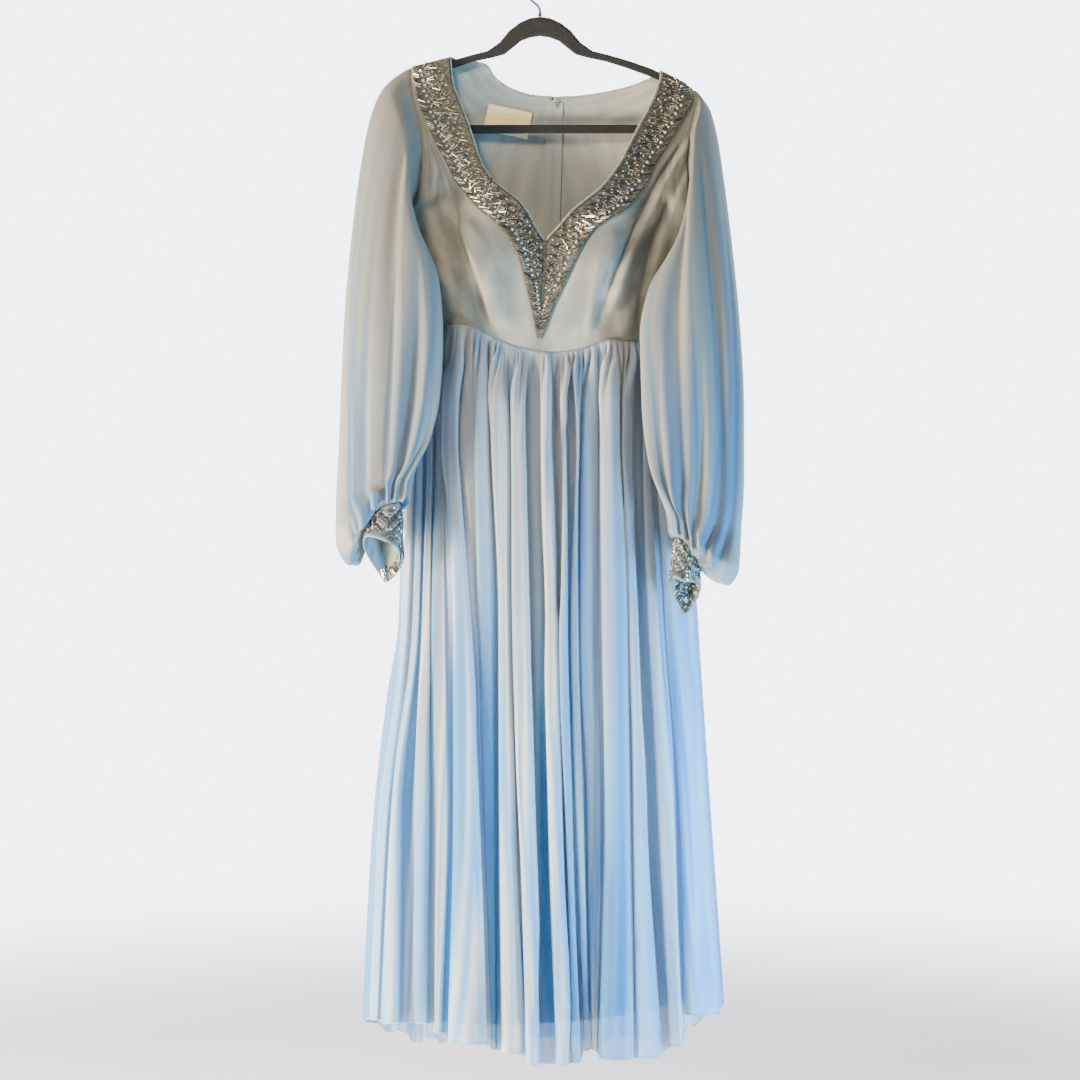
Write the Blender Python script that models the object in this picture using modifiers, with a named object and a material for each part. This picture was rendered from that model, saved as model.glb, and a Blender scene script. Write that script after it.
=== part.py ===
"""A long-sleeved evening dress on its hanger, as cut pieces of cloth with real thickness.

The origin is the inside of the hook, where a rail bears. The front faces -Y, +X is the
right of the front view and +Z is up. All sizes in the tables are millimetres.
"""

import math
from collections import namedtuple

import bmesh
import bpy
from mathutils import Matrix, Vector
from mathutils.bvhtree import BVHTree

MM = 0.001

# The front view: tables give places as seen from here, and real() brings them to their depth.
VIEW_DISTANCE = 3200
VIEW_HEIGHT = -756

# Cloth and seams
BODICE_WALL = 1.2
CHIFFON_WALL = 1.0
LINING_WALL = 1.0
CUFF_WALL = 2.0
BAND_WALL = 1.6
SEAM_GAP = 0.3
SEAM_HALF = 0.5
SIDE_HALF = 0.45

# Hanger
WIRE = 3.6
HOOK_RADIUS = 22.0
NECK_TOP = -60.3

# Skirt levels, as seen from the front
GATHER_END = -575
SKIRT_STEPS = (0, 0.012, 0.04, 0.09, 0.155, 0.27, 0.4, 0.54, 0.68, 0.84, 1)
BACK_STEPS = (0, 0.012, 0.05, 0.12, 0.187, 0.3, 0.48, 0.72, 1)
LINING_STEPS = (0, 0.05, 0.13, 0.28, 0.42, 0.64, 1)
LINING_RISE = 36
LINING_INSET = 7

# Centre back and zip
ZIP_SLOT = 1.8
ZIP_TOP = -173
ZIP_END = -655
TAPE_WIDTH = 11
TAPE_WALL = 0.8
CHAIN_HALF = 1.3

Station = namedtuple(
    "Station", "neck_x neck_z neck_y band_x band_z band_y side_x side_z side_y round"
)
FRONT_LEFT = [
    Station(-120, -113.9, -0.4, -169, -126.5, -0.4, -174, -129, -0.4, 0),
    Station(-119.8, -115.4, -4.3, -168.7, -128, -4.3, -174, -130.5, -4.3, 0),
    Station(-119.3, -122, -6.8, -168.3, -134, -6.8, -173.5, -136, -6.8, 0),
    Station(-116.5, -149, -12, -165, -156, -11, -170, -164, -9.5, 0),
    Station(-107, -174, -17, -157, -184, -15, -163.5, -194, -11, 0),
    Station(-97, -200, -22, -148, -207, -18, -158, -224, -11, 0),
    Station(-88, -228, -28, -137, -231, -22, -157, -253, -10, 0.1),
    Station(-80, -251, -33, -124, -255, -27, -160, -282, -10, 0.3),
    Station(-68, -272, -38, -113, -277, -32, -171, -310, -8.5, 0.6),
    Station(-48, -290, -43, -98, -296, -38, -182, -333, -SIDE_HALF, 1),
    Station(-29, -305, -46, -82, -315, -44, -187, -357, -SIDE_HALF, 1),
    Station(-18, -319, -48, -62, -333, -49, -187, -380, -SIDE_HALF, 1),
    Station(-8, -339, -49, -45, -353, -52, -187, -402, -SIDE_HALF, 1),
    Station(6, -366, -50, -31, -377, -54, -187, -422, -SIDE_HALF, 1),
]
FRONT_RIGHT = [
    Station(162, -132.6, -0.4, 188, -146, -0.4, 203, -156.5, -0.4, 0),
    Station(161.8, -134.1, -4.3, 191, -149, -4.3, 204, -158.5, -4.3, 0),
    Station(161.3, -140, -6.8, 197, -158, -6.8, 206, -165, -6.8, 0),
    Station(157, -155, -11, 200.5, -171, -9.5, 207, -180, -9, 0),
    Station(145, -183, -16, 194, -186, -14, 203, -204, -11, 0),
    Station(131.5, -207, -22, 182, -207, -18, 197, -231, -11, 0),
    Station(121, -228, -28, 169, -231, -22, 195, -258, -10, 0.1),
    Station(111, -248, -33, 152, -258, -27, 196, -284, -10, 0.3),
    Station(98, -268, -38, 145, -276, -32, 201, -310, -8.5, 0.6),
    Station(81, -288, -43, 131, -296, -38, 205, -333, -SIDE_HALF, 1),
    Station(60, -305, -46, 114, -316, -44, 206, -357, -SIDE_HALF, 1),
    Station(43, -319, -48, 91, -330, -49, 204, -382, -SIDE_HALF, 1),
    Station(26, -339, -49, 73, -343, -52, 202, -405, -SIDE_HALF, 1),
    Station(6, -366, -50, 55, -370, -54, 200, -427, -SIDE_HALF, 1),
]
V_ROW = 13
ARMHOLE_ROWS = 10
BAND_CUTS = 3
SIDE_CUTS = 8

# Below the V: share of the way down to the waist seam, the centre line and the band's edges.
Lower = namedtuple("Lower", "share centre_x centre_y left_x right_x band_y side_left side_right")
LOWER_ROWS = [
    Lower(0.27, 4.5, -51, -21, 38, -54, -186.5, 198),
    Lower(0.5, 2.5, -50, -14, 22, -52, -186, 196.5),
    Lower(0.73, 0, -48.5, -7, 9, -49.5, -185.5, 195),
    Lower(0.87, -1, -47.5, -4, 2, -47.5, -185, 194.5),
]

Back = namedtuple("Back", "neck_x neck_z neck_y side_x side_z side_y round")
BACK_LEFT = [
    Back(-120, -113.9, 0.4, -174, -129, 0.4, 0),
    Back(-118, -115.4, 4.3, -174, -130.5, 4.3, 0),
    Back(-113, -118, 6.8, -173.5, -136, 6.8, 0),
    Back(-74, -124, 9, -170, -164, 9.5, 0),
    Back(-60, -142, 10.5, -163.5, -194, 11, 0),
    Back(-38, -157, 12, -158, -224, 11, 0),
    Back(-8, -166, 13, -157, -253, 10, 0.1),
    Back(20, -169, 13.5, -160, -282, 10, 0.3),
    Back(19, -200, 14.5, -171, -310, 8.5, 0.6),
    Back(18, -250, 16, -182, -333, SIDE_HALF, 1),
    Back(16, -320, 17.5, -187, -380, SIDE_HALF, 1),
    Back(14, -400, 18, -187, -440, SIDE_HALF, 1),
]
BACK_RIGHT = [
    Back(162, -132.6, 0.4, 203, -156.5, 0.4, 0),
    Back(160.5, -134.1, 4.3, 204, -158.5, 4.3, 0),
    Back(157, -138.5, 6.8, 206, -165, 6.8, 0),
    Back(138, -147, 9, 207, -180, 9, 0),
    Back(120, -154, 10.5, 203, -204, 11, 0),
    Back(86, -162, 12, 197, -231, 11, 0),
    Back(50, -167, 13, 195, -258, 10, 0.1),
    Back(20, -169, 13.5, 196, -284, 10, 0.3),
    Back(19, -200, 14.5, 201, -310, 8.5, 0.6),
    Back(18, -250, 16, 205, -333, SIDE_HALF, 1),
    Back(16, -320, 17.5, 204, -382, SIDE_HALF, 1),
    Back(14, -400, 18, 198, -446, SIDE_HALF, 1),
]
NECK_ROW = 7
BACK_CUTS = 7

# The waist seam: its line in the front view, and how far front and back stand off the sides.
SEAM_X = (-185, -133, -105, -68, -30, 20, 55, 95, 140, 194)
SEAM_Z = (-478, -471, -468, -484, -499, -507, -502, -490, -491, -490)
SEAM_FRONT = -47
SEAM_BACK = 18
BACK_SEAM_Z = -484

# Skirt outline by level: side edges, how far the cloth between folds stands forward and back.
SkirtLevel = namedtuple("SkirtLevel", "z left right front back")
SKIRT_LEVELS = [
    SkirtLevel(-485, -185, 194, -47, 18),
    SkirtLevel(-530, -184, 195, -49, 20),
    SkirtLevel(-636, -183, 197, -54, 25),
    SkirtLevel(-862, -188, 210, -64, 33),
    SkirtLevel(-968, -204, 217, -68, 37),
    SkirtLevel(-1128, -222, 228, -75, 42),
    SkirtLevel(-1300, -232, 240, -83, 48),
    SkirtLevel(-1440, -238, 249, -90, 54),
]
SIDE_HEM_LEFT = -1397
SIDE_HEM_RIGHT = -1373

# Each raised fold of the front skirt: its two edges at four levels, how far it stands
# forward near the top and at the hem, and where its hem ends.
FOLD_LEVELS = (-636, -862, -1128, -1407)
Fold = namedtuple("Fold", "l1 r1 l2 r2 l3 r3 l4 r4 top hem hem_z")
FRONT_FOLDS = [
    Fold(-178, -168, -182, -175, -214, -202, -228, -216, 4, 8, -1399),
    Fold(-163, -155, -170, -160, -198, -184, -210, -184, 8, 20, -1404),
    Fold(-151, -142, -157, -146, -167, -150, -166, -149, 8, 16, -1404),
    Fold(-138, -131, -143, -125, -144, -121, -142, -129, 3, 8, -1416),
    Fold(-128, -108, -117, -93, -116, -79, -122, -70, 16, 36, -1431),
    Fold(-85, -69, -81, -62, -74, -60, -66, -59, 9, 12, -1438),
    Fold(-66, -43, -57, -41, -56, -35, -53, -22, 15, 26, -1443),
    Fold(-39, -21, -37, -15, -31, -9, -18, 0, 20, 38, -1458),
    Fold(4, 15, 7, 24, 12, 30, 22, 39, 16, 34, -1459),
    Fold(27, 36, 27, 35, 33, 43, 42, 54, 24, 30, -1457),
    Fold(47, 53, 43, 51, 48, 59, 58, 66, 20, 10, -1440),
    Fold(56, 78, 54, 79, 65, 82, 69, 76, 7, 8, -1438),
    Fold(81, 106, 82, 118, 86, 122, 79, 126, 17, 36, -1452),
    Fold(109, 124, 121, 131, 125, 141, 129, 160, 14, 34, -1449),
    Fold(137, 146, 143, 157, 157, 178, 172, 191, 14, 32, -1436),
    Fold(154, 184, 166, 202, 186, 220, 196, 242, 8, 12, -1392),
]
WIDE_FOLD = ((0.12, 0.0), (0.0, 0.55), (0.2, 1.0), (0.8, 1.0), (1.0, 0.55), (0.88, 0.0))
NARROW_FOLD = ((0.0, 0.0), (0.1, 1.0), (0.9, 1.0), (1.0, 0.0))
RECESS_RISE = 7
GATHER = 1.3

# Back folds: middle and half width as shares of the half back, depth at the hem.
BackFold = namedtuple("BackFold", "middle half deep")
BACK_FOLDS_LEFT = [
    BackFold(0.17, 0.05, 14),
    BackFold(0.33, 0.055, 20),
    BackFold(0.51, 0.06, 13),
    BackFold(0.68, 0.05, 18),
    BackFold(0.85, 0.045, 12),
]
BACK_FOLDS_RIGHT = [
    BackFold(0.15, 0.045, 16),
    BackFold(0.31, 0.06, 12),
    BackFold(0.49, 0.055, 21),
    BackFold(0.67, 0.055, 14),
    BackFold(0.84, 0.05, 15),
]

# Each ring of a sleeve by the four lines down it, as (x, z, y): the crown of the arm, the
# front, the underarm and the back; then how deep its folds and its gathers are.
Ring = namedtuple("Ring", "crown front under back fold gather")
SLEEVE_LEFT = [
    Ring((-207, -154, -4), (-174, -232, -48), (-190, -346, -28), (-188, -228, 20), 1, 0),
    Ring((-222, -188, -10), (-180, -262, -64), (-174, -360, -44), (-200, -258, 14), 2, 0),
    Ring((-236, -262, -20), (-188, -310, -76), (-150, -380, -52), (-208, -312, 2), 3, 0),
    Ring((-250, -375, -34), (-194, -392, -86), (-133, -414, -58), (-210, -394, -10), 5, 0),
    Ring((-258, -470, -44), (-195, -478, -92), (-127, -484, -64), (-208, -478, -20), 6, 0),
    Ring((-262, -556, -52), (-196, -560, -98), (-131, -560, -73), (-208, -560, -30), 6, 0),
    Ring((-265, -640, -60), (-198, -628, -104), (-145, -620, -82), (-212, -640, -38), 4, 0),
    Ring((-268, -708, -66), (-200, -668, -109), (-163, -656, -88), (-220, -700, -43), 1, 0),
]
SLEEVE_RIGHT = [
    Ring((223, -180, -4), (202, -238, -48), (214, -348, -28), (219, -236, 20), 1, 0),
    Ring((232, -214, -10), (202, -268, -64), (198, -364, -44), (222, -266, 14), 2, 0),
    Ring((241, -280, -20), (205, -318, -76), (174, -384, -52), (226, -320, 2), 3, 0),
    Ring((254, -380, -34), (206, -398, -86), (147, -420, -58), (224, -398, -10), 5, 0),
    Ring((265, -480, -44), (206, -486, -92), (132, -490, -64), (222, -486, -20), 6, 0),
    Ring((271, -575, -52), (206, -576, -98), (133, -574, -73), (222, -576, -30), 6, 0),
    Ring((272, -668, -60), (204, -664, -106), (143, -654, -84), (222, -664, -40), 4, 0),
    Ring((268, -742, -66), (199, -712, -112), (160, -698, -92), (222, -736, -45), 1, 0),
]
# Below them the sleeve is let down over the cuff: outward, up, and down on its outer side.
Pucker = namedtuple("Pucker", "out out_hang up down gather")
PUCKERS = (Pucker(10, 42, 24, 60, 0), Pucker(8, 30, 10, 70, 0.5), Pucker(4.5, 18, 3.5, 38, 0.7))
POUCH_LEFT = 1
POUCH_RIGHT = 0.4
SLEEVE_COLUMNS = 32
SLEEVE_FOLDS = 8

# Each cuff hangs open: the loops of its top and its foot, by the same four lines.
Loop = namedtuple("Loop", "crown front under back")
CUFF_LEFT = (
    Loop((-217, -720, -84), (-201, -709, -100), (-184, -711, -86), (-200, -738, -66)),
    Loop((-237, -762, -92), (-211, -756, -112), (-183, -779, -92), (-205, -812, -70)),
)
CUFF_RIGHT = (
    Loop((212, -798, -90), (199, -768, -106), (180, -753, -92), (205, -776, -70)),
    Loop((214, -822, -88), (190, -811, -112), (174, -813, -96), (192, -856, -78)),
)
CUFF_COLUMNS = 24
CUFF_TURN = 385
CUFF_START = 175
CUFF_SLACK = 0.16

# Hanger: across each place of its left half, the outer edge and the inner edge.
HANGER_HALF = [
    ((0, -59.5), (0, -86.5)),
    ((-14, -61.5), (-13, -88.5)),
    ((-27, -67.5), (-25, -93)),
    ((-41, -78), (-36, -102)),
    ((-54, -94), (-47, -110.5)),
    ((-70, -105.5), (-64, -115)),
    ((-90, -110.5), (-88, -120)),
    ((-118, -118.5), (-115, -128.5)),
    ((-148, -129), (-144, -139)),
    ((-162, -135.8), (-157.5, -145)),
    ((-178, -144.5), (-173, -153)),
    ((-187, -151), (-179, -157)),
    ((-192, -160), (-182.5, -163)),
    ((-193, -170), (-183, -171)),
    ((-191, -188), (-181, -186)),
    ((-187, -203), (-177, -197)),
    ((-181, -211.5), (-173, -202)),
    ((-172, -215.6), (-167, -203.7)),
    ((-90, -215.6), (-90, -203.7)),
]
HANGER_PROFILE = ((0.03, -1.5), (0.17, -2.5), (0.83, -2.5), (0.97, -1.5))

# Zip slider and pull, from the slider's middle at the top of the zip
SLIDER = (7, 2.4, 9)
EAR = (1.0, 4.0, 3.4)
PIVOT_OUT = 2.6
PIN_RADIUS = 0.6
BARREL_INNER = 1.0
BARREL_OUTER = 1.8
BARREL_LENGTH = 3.0
PULL = (5.0, 1.0, 14.0)

# Label on the inner back: size, middle in the front view, and how far it is turned
LABEL = (60, 36)
LABEL_AT = (-42.5, -199)
LABEL_TURN = -12
LABEL_WALL = 0.6

BINDING_RADIUS = 1.2


def real(x, z, y):
    """The real place of a point seen at (x, z) from the front, at its own depth y."""
    near = (VIEW_DISTANCE + y) / VIEW_DISTANCE
    return Vector((x * near, y, VIEW_HEIGHT + (z - VIEW_HEIGHT) * near))


def mix(a, b, share):
    return a + (b - a) * share


def ease(share):
    share = min(max(share, 0), 1)
    return share * share * (3 - 2 * share)


def through(keys, values, at):
    """A smooth curve through the values at the keys, with no overshoot."""
    keys, values = list(keys), list(values)
    if keys[0] > keys[-1]:
        keys.reverse()
        values.reverse()
    if at <= keys[0]:
        return values[0]
    if at >= keys[-1]:
        return values[-1]
    i = max(k for k in range(len(keys) - 1) if keys[k] <= at)
    steps = [(values[k + 1] - values[k]) / (keys[k + 1] - keys[k]) for k in range(len(keys) - 1)]

    def slope(k):
        if k in (0, len(steps)):
            return steps[min(k, len(steps) - 1)]
        before, after = steps[k - 1], steps[k]
        return 0 if before * after <= 0 else 2 * before * after / (before + after)

    span = keys[i + 1] - keys[i]
    t = (at - keys[i]) / span
    return (
        values[i] * (1 + 2 * t) * (1 - t) ** 2
        + slope(i) * span * t * (1 - t) ** 2
        + values[i + 1] * t * t * (3 - 2 * t)
        + slope(i + 1) * span * t * t * (t - 1)
    )


def rounded(share):
    """Rises from 0 at a side seam, straight out at first, to 1 where the cloth is level."""
    share = min(max(share, 0), 1)
    return math.sqrt(share * (2 - share))


def material(name, colour, rough, metallic=0.0):
    made = bpy.data.materials.new(name)
    made.use_nodes = True
    shader = made.node_tree.nodes["Principled BSDF"]
    shader.inputs["Base Color"].default_value = (*colour, 1)
    shader.inputs["Roughness"].default_value = rough
    shader.inputs["Metallic"].default_value = metallic
    return made


def add_object(name, data, finish, collection):
    made = bpy.data.objects.new(name, data)
    collection.objects.link(made)
    data.materials.append(finish)
    return made


def mesh_from_grids(name, grids, ring=False):
    """One mesh from grids of rows of points in millimetres, their equal points merged."""
    body = bmesh.new()
    for rows in grids:
        made = [[body.verts.new(p * MM) for p in row] for row in rows]
        wide = len(rows[0])
        for upper, lower in zip(made, made[1:]):
            for j in range(wide if ring else wide - 1):
                k = (j + 1) % wide
                body.faces.new((upper[j], lower[j], lower[k], upper[k]))
    bmesh.ops.remove_doubles(body, verts=body.verts, dist=1e-7)
    bmesh.ops.recalc_face_normals(body, faces=body.faces)
    mesh = bpy.data.meshes.new(name)
    body.to_mesh(mesh)
    body.free()
    mesh.shade_smooth()
    return mesh


def cloth(name, grids, wall, finish, collection, ring=False, even=True):
    """A sheet of cloth with its wall centred on the grids' points."""
    made = add_object(name, mesh_from_grids(name, grids, ring), finish, collection)
    thicken = made.modifiers.new("wall", "SOLIDIFY")
    thicken.thickness = wall * MM
    thicken.offset = 0
    thicken.use_even_offset = even
    thicken.use_quality_normals = True
    return made


# Waist seam

def side_depth(distance, full, hollow, near=11):
    """How far the cloth stands off its side seam: hollow at the sides, where a sleeve lies."""
    plain = full * rounded(distance / 170)
    pressed = near * rounded(distance / 14) + (full - near) * ease((distance - 30) / 75)
    return mix(plain, pressed, hollow)


def seam_point(x, front):
    """The front or back waist seam at x in the front view, as (x, z, y)."""
    side = min(x - SEAM_X[0], SEAM_X[-1] - x)
    z = through(SEAM_X, SEAM_Z, x)
    if front:
        return x, z, -SIDE_HALF - side_depth(side, -SEAM_FRONT - SIDE_HALF, 1)
    return x, mix(z, BACK_SEAM_Z, ease(side / 60)), SIDE_HALF + side_depth(side, SEAM_BACK, 0)


def turned(start, end, cuts):
    """Places from start to end that crowd towards the end, where the cloth turns."""
    return [mix(end, start, 1 - math.sin(k / cuts * math.pi / 2)) for k in range(cuts + 1)]


def seam_nodes(front):
    """The corners of the waist seam, shared by the bodice and the skirt."""
    if front:
        low = LOWER_ROWS[-1]
        left = turned(low.left_x, SEAM_X[0], SIDE_CUTS)
        right = turned(low.right_x, SEAM_X[-1], SIDE_CUTS)
        inner = [mix(low.centre_x, low.left_x, k / BAND_CUTS) for k in range(BAND_CUTS)]
        left = inner + left
        inner = [mix(low.centre_x, low.right_x, k / BAND_CUTS) for k in range(BAND_CUTS)]
        right = inner + right
    else:
        left = turned(centre_back(BACK_SEAM_Z) - ZIP_SLOT, SEAM_X[0], BACK_CUTS)
        right = turned(centre_back(BACK_SEAM_Z) + ZIP_SLOT, SEAM_X[-1], BACK_CUTS)
    return [[seam_point(x, front) for x in half] for half in (left, right)]


def seam_at(x, front):
    """The seam's own line of straight steps between its corners, at x."""
    left, right = seam_nodes(front)
    nodes = left[::-1] + right
    for a, b in zip(nodes, nodes[1:]):
        if a[0] <= x <= b[0] and b[0] > a[0]:
            share = (x - a[0]) / (b[0] - a[0])
            return tuple(mix(m, n, share) for m, n in zip(a, b))
    return nodes[0] if x < nodes[0][0] else nodes[-1]


# Bodice

def bust(x, z):
    """How far the cups stand forward."""
    return sum(
        9 * math.exp(-(((x - middle) / 40) ** 2) - ((z + 384) / 50) ** 2) for middle in (-72, 84)
    )


def front_creases(x, z):
    """The deep fold of the left front and the dart folds of the right front."""
    lower = min(ease((-280 - z) / 40), ease((z + 486) / 30))
    edge = through((-290, -357, -423, -475), (-112, -105, -83, -64), z)
    left = 6 * ease((edge + 9 - x) / 14) * ease((x + 150) / 40)
    dart = through((-290, -363, -423, -476), (141, 110, 91, 82), z)
    right = 5 * math.exp(-(((x - dart) / 8) ** 2))
    return (left + right) * lower


def side_places(band, side, roundness, cuts, start, hollow):
    """From the band's outer edge to the side: straight across, or turning into the seam."""
    places = []
    for k, x in enumerate(turned(band[0], side[0], cuts)):
        share = k / cuts
        x = mix(mix(band[0], side[0], share), x, roundness)
        distance = abs(side[0] - x)
        full = abs(band[2]) - start
        whole = side_depth(abs(side[0] - band[0]), full, hollow)
        curved = start + side_depth(distance, full, hollow) * full / max(whole, 1)
        curved = math.copysign(curved, band[2])
        y = mix(mix(band[2], side[2], share), curved, roundness)
        across = (x - band[0]) / (side[0] - band[0])
        places.append((x, mix(band[1], side[1], across), side[2] if k == cuts else y))
    return places


def shaped(x, z, y, keep):
    return x, z, y if keep else y - bust(x, z) + front_creases(x, z)


def front_half(stations, right):
    """Rows of one half of the front, each from the neck or centre to the armhole or side."""
    rows = []
    for at in stations:
        neck = (at.neck_x, at.neck_z, at.neck_y)
        band = (at.band_x, at.band_z, at.band_y)
        side = (at.side_x, at.side_z, at.side_y)
        row = [
            tuple(mix(neck[k], band[k], j / BAND_CUTS) for k in range(3)) for j in range(BAND_CUTS)
        ]
        row += side_places(band, side, at.round, SIDE_CUTS, SIDE_HALF, 1)
        rows.append([shaped(*p, k == len(row) - 1) for k, p in enumerate(row)])
    above = rows[-1]
    for low in LOWER_ROWS:
        band_x, side_x = (low.right_x, low.side_right) if right else (low.left_x, low.side_left)
        band = (band_x, 0, low.band_y)
        row = [(mix(low.centre_x, band_x, j / BAND_CUTS), 0, mix(low.centre_y, low.band_y, j / BAND_CUTS))
               for j in range(BAND_CUTS)]
        row += side_places(band, (side_x, 0, -SIDE_HALF), 1, SIDE_CUTS, SIDE_HALF, 1)
        line = []
        for k, (x, _, y) in enumerate(row):
            z = mix(above[k][1], through(SEAM_X, SEAM_Z, x), low.share)
            line.append(shaped(x, z, y, k == len(row) - 1))
        rows.append(line)
    rows.append([(x, z + SEAM_HALF, y) for x, z, y in seam_nodes(True)[right]])
    return [[real(*p) for p in row] for row in rows]


def back_half(stations, right):
    """Rows of one half of the back, each from the neck or the zip to the armhole or side."""
    slot = ZIP_SLOT if right else -ZIP_SLOT
    rows = []
    for k, at in enumerate(stations):
        inner = (at.neck_x + (slot if k >= NECK_ROW else 0), at.neck_z, at.neck_y)
        side = (at.side_x, at.side_z, at.side_y)
        rows.append(side_places(inner, side, at.round, BACK_CUTS, SIDE_HALF, 0))
    rows.append([(x, z + SEAM_HALF, y) for x, z, y in seam_nodes(False)[right]])
    return [[real(*p) for p in row] for row in rows]


def centre_back(z):
    """The line of the zip and centre-back seam in the front view."""
    return through((-1440, -484, -400, -320, -250, -200, -169), (6, 12.5, 14, 16, 18, 19, 20), z)


def make_bodice(finish, collection):
    left = front_half(FRONT_LEFT, False)
    right = front_half(FRONT_RIGHT, True)
    cloth("bodice_front", [left, right], BODICE_WALL, finish, collection)
    backs = {
        "bodice_back_left": back_half(BACK_LEFT, False),
        "bodice_back_right": back_half(BACK_RIGHT, True),
    }
    made = {name: cloth(name, [rows], BODICE_WALL, finish, collection)
            for name, rows in backs.items()}
    return left, right, backs, made


def raised(rows, out):
    """The same grid moved out of its surface by a distance, away from the body."""
    moved = []
    for i, row in enumerate(rows):
        up = rows[max(i - 1, 0)]
        down = rows[min(i + 1, len(rows) - 1)]
        line = []
        for j, point in enumerate(row):
            along = row[min(j + 1, len(row) - 1)] - row[max(j - 1, 0)]
            normal = along.cross(down[j] - up[j]).normalized()
            if normal.y > 0:
                normal = -normal
            line.append(point + normal * out)
        moved.append(line)
    return moved


def make_neck_band(left, right, finish, collection):
    """The beaded band: the inner part of the front's own grid, moved out of it."""
    out = (BODICE_WALL + BAND_WALL) / 2 + SEAM_GAP + 0.1
    rows = slice(1, len(left) - 1)
    wide = BAND_CUTS + 1
    joined = [[], []]
    for half, side in enumerate((left, right)):
        joined[half] = [line[:wide] for line in raised(side, out)[rows]]
    first = V_ROW - 1
    for l_row, r_row in zip(joined[0][first:], joined[1][first:]):
        middle = (l_row[0] + r_row[0]) / 2
        l_row[0] = middle
        r_row[0] = middle.copy()
    return cloth("neck_band", joined, BAND_WALL, finish, collection)


# Sleeves and cuffs

def armhole(stations, backs, turn):
    """The armhole's edge at a turn of 0 to 1: shoulder, front, underarm, back, shoulder."""
    half = 1 - abs(1 - 2 * turn)
    source = stations[:ARMHOLE_ROWS] if turn <= 0.5 else backs[:ARMHOLE_ROWS]
    at = 1 + half * (len(source) - 2)
    i = min(int(at), len(source) - 2)
    a, b = source[i], source[i + 1]
    return tuple(mix(getattr(a, key), getattr(b, key), at - i)
                 for key in ("side_x", "side_z", "side_y"))


def ring_point(ring, angle):
    """A closed curve through the ring's four places."""
    crown, front, under, back = (real(*p) for p in ring[:4])
    middle = (crown + front + under + back) / 4
    twist = (crown + under - front - back) / 4
    point = (middle + (crown - under) / 2 * math.cos(angle)
             + (front - back) / 2 * math.sin(angle) + twist * math.cos(2 * angle))
    return point, middle


def sleeve_rows(rings, stations, backs, cuff, outward, pouch):
    first = []
    for j in range(SLEEVE_COLUMNS):
        turn = j / SLEEVE_COLUMNS
        x, z, y = armhole(stations, backs, turn)
        lift = max(math.cos(2 * math.pi * turn), 0)
        depth = math.sin(2 * math.pi * turn)
        first.append(real(x + outward * 1.2, z + 1.4 * lift, y - 0.9 * depth))
    rows = [first]
    for ring in rings:
        row = []
        for j in range(SLEEVE_COLUMNS):
            angle = 2 * math.pi * j / SLEEVE_COLUMNS
            point, middle = ring_point(ring, angle)
            out = (point - middle).normalized()
            wave = ring.fold * 0.5 * math.cos(SLEEVE_FOLDS * angle + 0.6)
            wave += ring.gather * (-1) ** j * 0.5
            row.append(point + out * wave)
        rows.append(row)
    away = Vector((outward * 3, 0, 0))
    rows.insert(1, [mix(a, b, 0.18) + away for a, b in zip(rows[0], rows[1])])
    for low in PUCKERS:
        row = []
        for j in range(SLEEVE_COLUMNS):
            angle = 2 * math.pi * j / SLEEVE_COLUMNS
            point, out = cuff_top(cuff, angle)
            hang = max(0, math.cos(angle + math.radians(15))) ** 1.5
            spread = low.out + low.out_hang * hang + low.gather * (-1) ** j
            row.append(point + out * spread + Vector((0, 0, low.up - low.down * hang * pouch)))
        rows.append(row)
    last = [cuff_top(cuff, 2 * math.pi * j / SLEEVE_COLUMNS) for j in range(SLEEVE_COLUMNS)]
    rows.append([point + out * (0.5 + 0.3 * (-1) ** j) + Vector((0, 0, 2.2))
                 for j, (point, out) in enumerate(last)])
    return rows


def cuff_top(cuff, angle):
    """A place on the cuff's top edge, and the level way outward there."""
    point, middle = ring_point(cuff[0], angle)
    out = (point - middle) * Vector((1, 1, 0))
    return point, out.normalized()


def cuff_rows(cuff):
    """The cuff's band from its outer end, once round and a little inside itself."""
    rows = []
    for down in (0, 0.35, 0.7, 1):
        row = []
        for j in range(CUFF_COLUMNS + 1):
            share = j / CUFF_COLUMNS
            angle = math.radians(CUFF_START + CUFF_TURN * share)
            top, top_middle = ring_point(cuff[0], angle)
            foot, foot_middle = ring_point(cuff[1], angle)
            inward = Vector((1, 1, 0)) * CUFF_SLACK * share
            top += (top_middle - top) * inward
            foot += (foot_middle - foot) * inward
            row.append(mix(top, foot, down))
        rows.append(row)
    return rows


def make_sleeves(finish, cuff_finish, collection):
    sides = (
        ("left", SLEEVE_LEFT, FRONT_LEFT, BACK_LEFT, CUFF_LEFT, -1, POUCH_LEFT),
        ("right", SLEEVE_RIGHT, FRONT_RIGHT, BACK_RIGHT, CUFF_RIGHT, 1, POUCH_RIGHT),
    )
    for side, rings, stations, backs, cuff, outward, pouch in sides:
        rows = sleeve_rows(rings, stations, backs, cuff, outward, pouch)
        cloth(f"sleeve_{side}", [rows], CHIFFON_WALL, finish, collection, ring=True, even=False)
        cloth(f"cuff_{side}", [cuff_rows(cuff)], CUFF_WALL, cuff_finish, collection)


# Skirt

def level(z, column):
    return through([row.z for row in SKIRT_LEVELS], [getattr(row, column) for row in SKIRT_LEVELS], z)


def base_depth(x, z, front):
    """Where the cloth between the folds lies at x and z of the front view."""
    side = min(x - level(z, "left"), level(z, "right") - x)
    full = level(z, "front" if front else "back")
    hollow = front * ease((z + 900) / 300)
    return math.copysign(SIDE_HALF + side_depth(side, abs(full) - SIDE_HALF, hollow), full)


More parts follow.
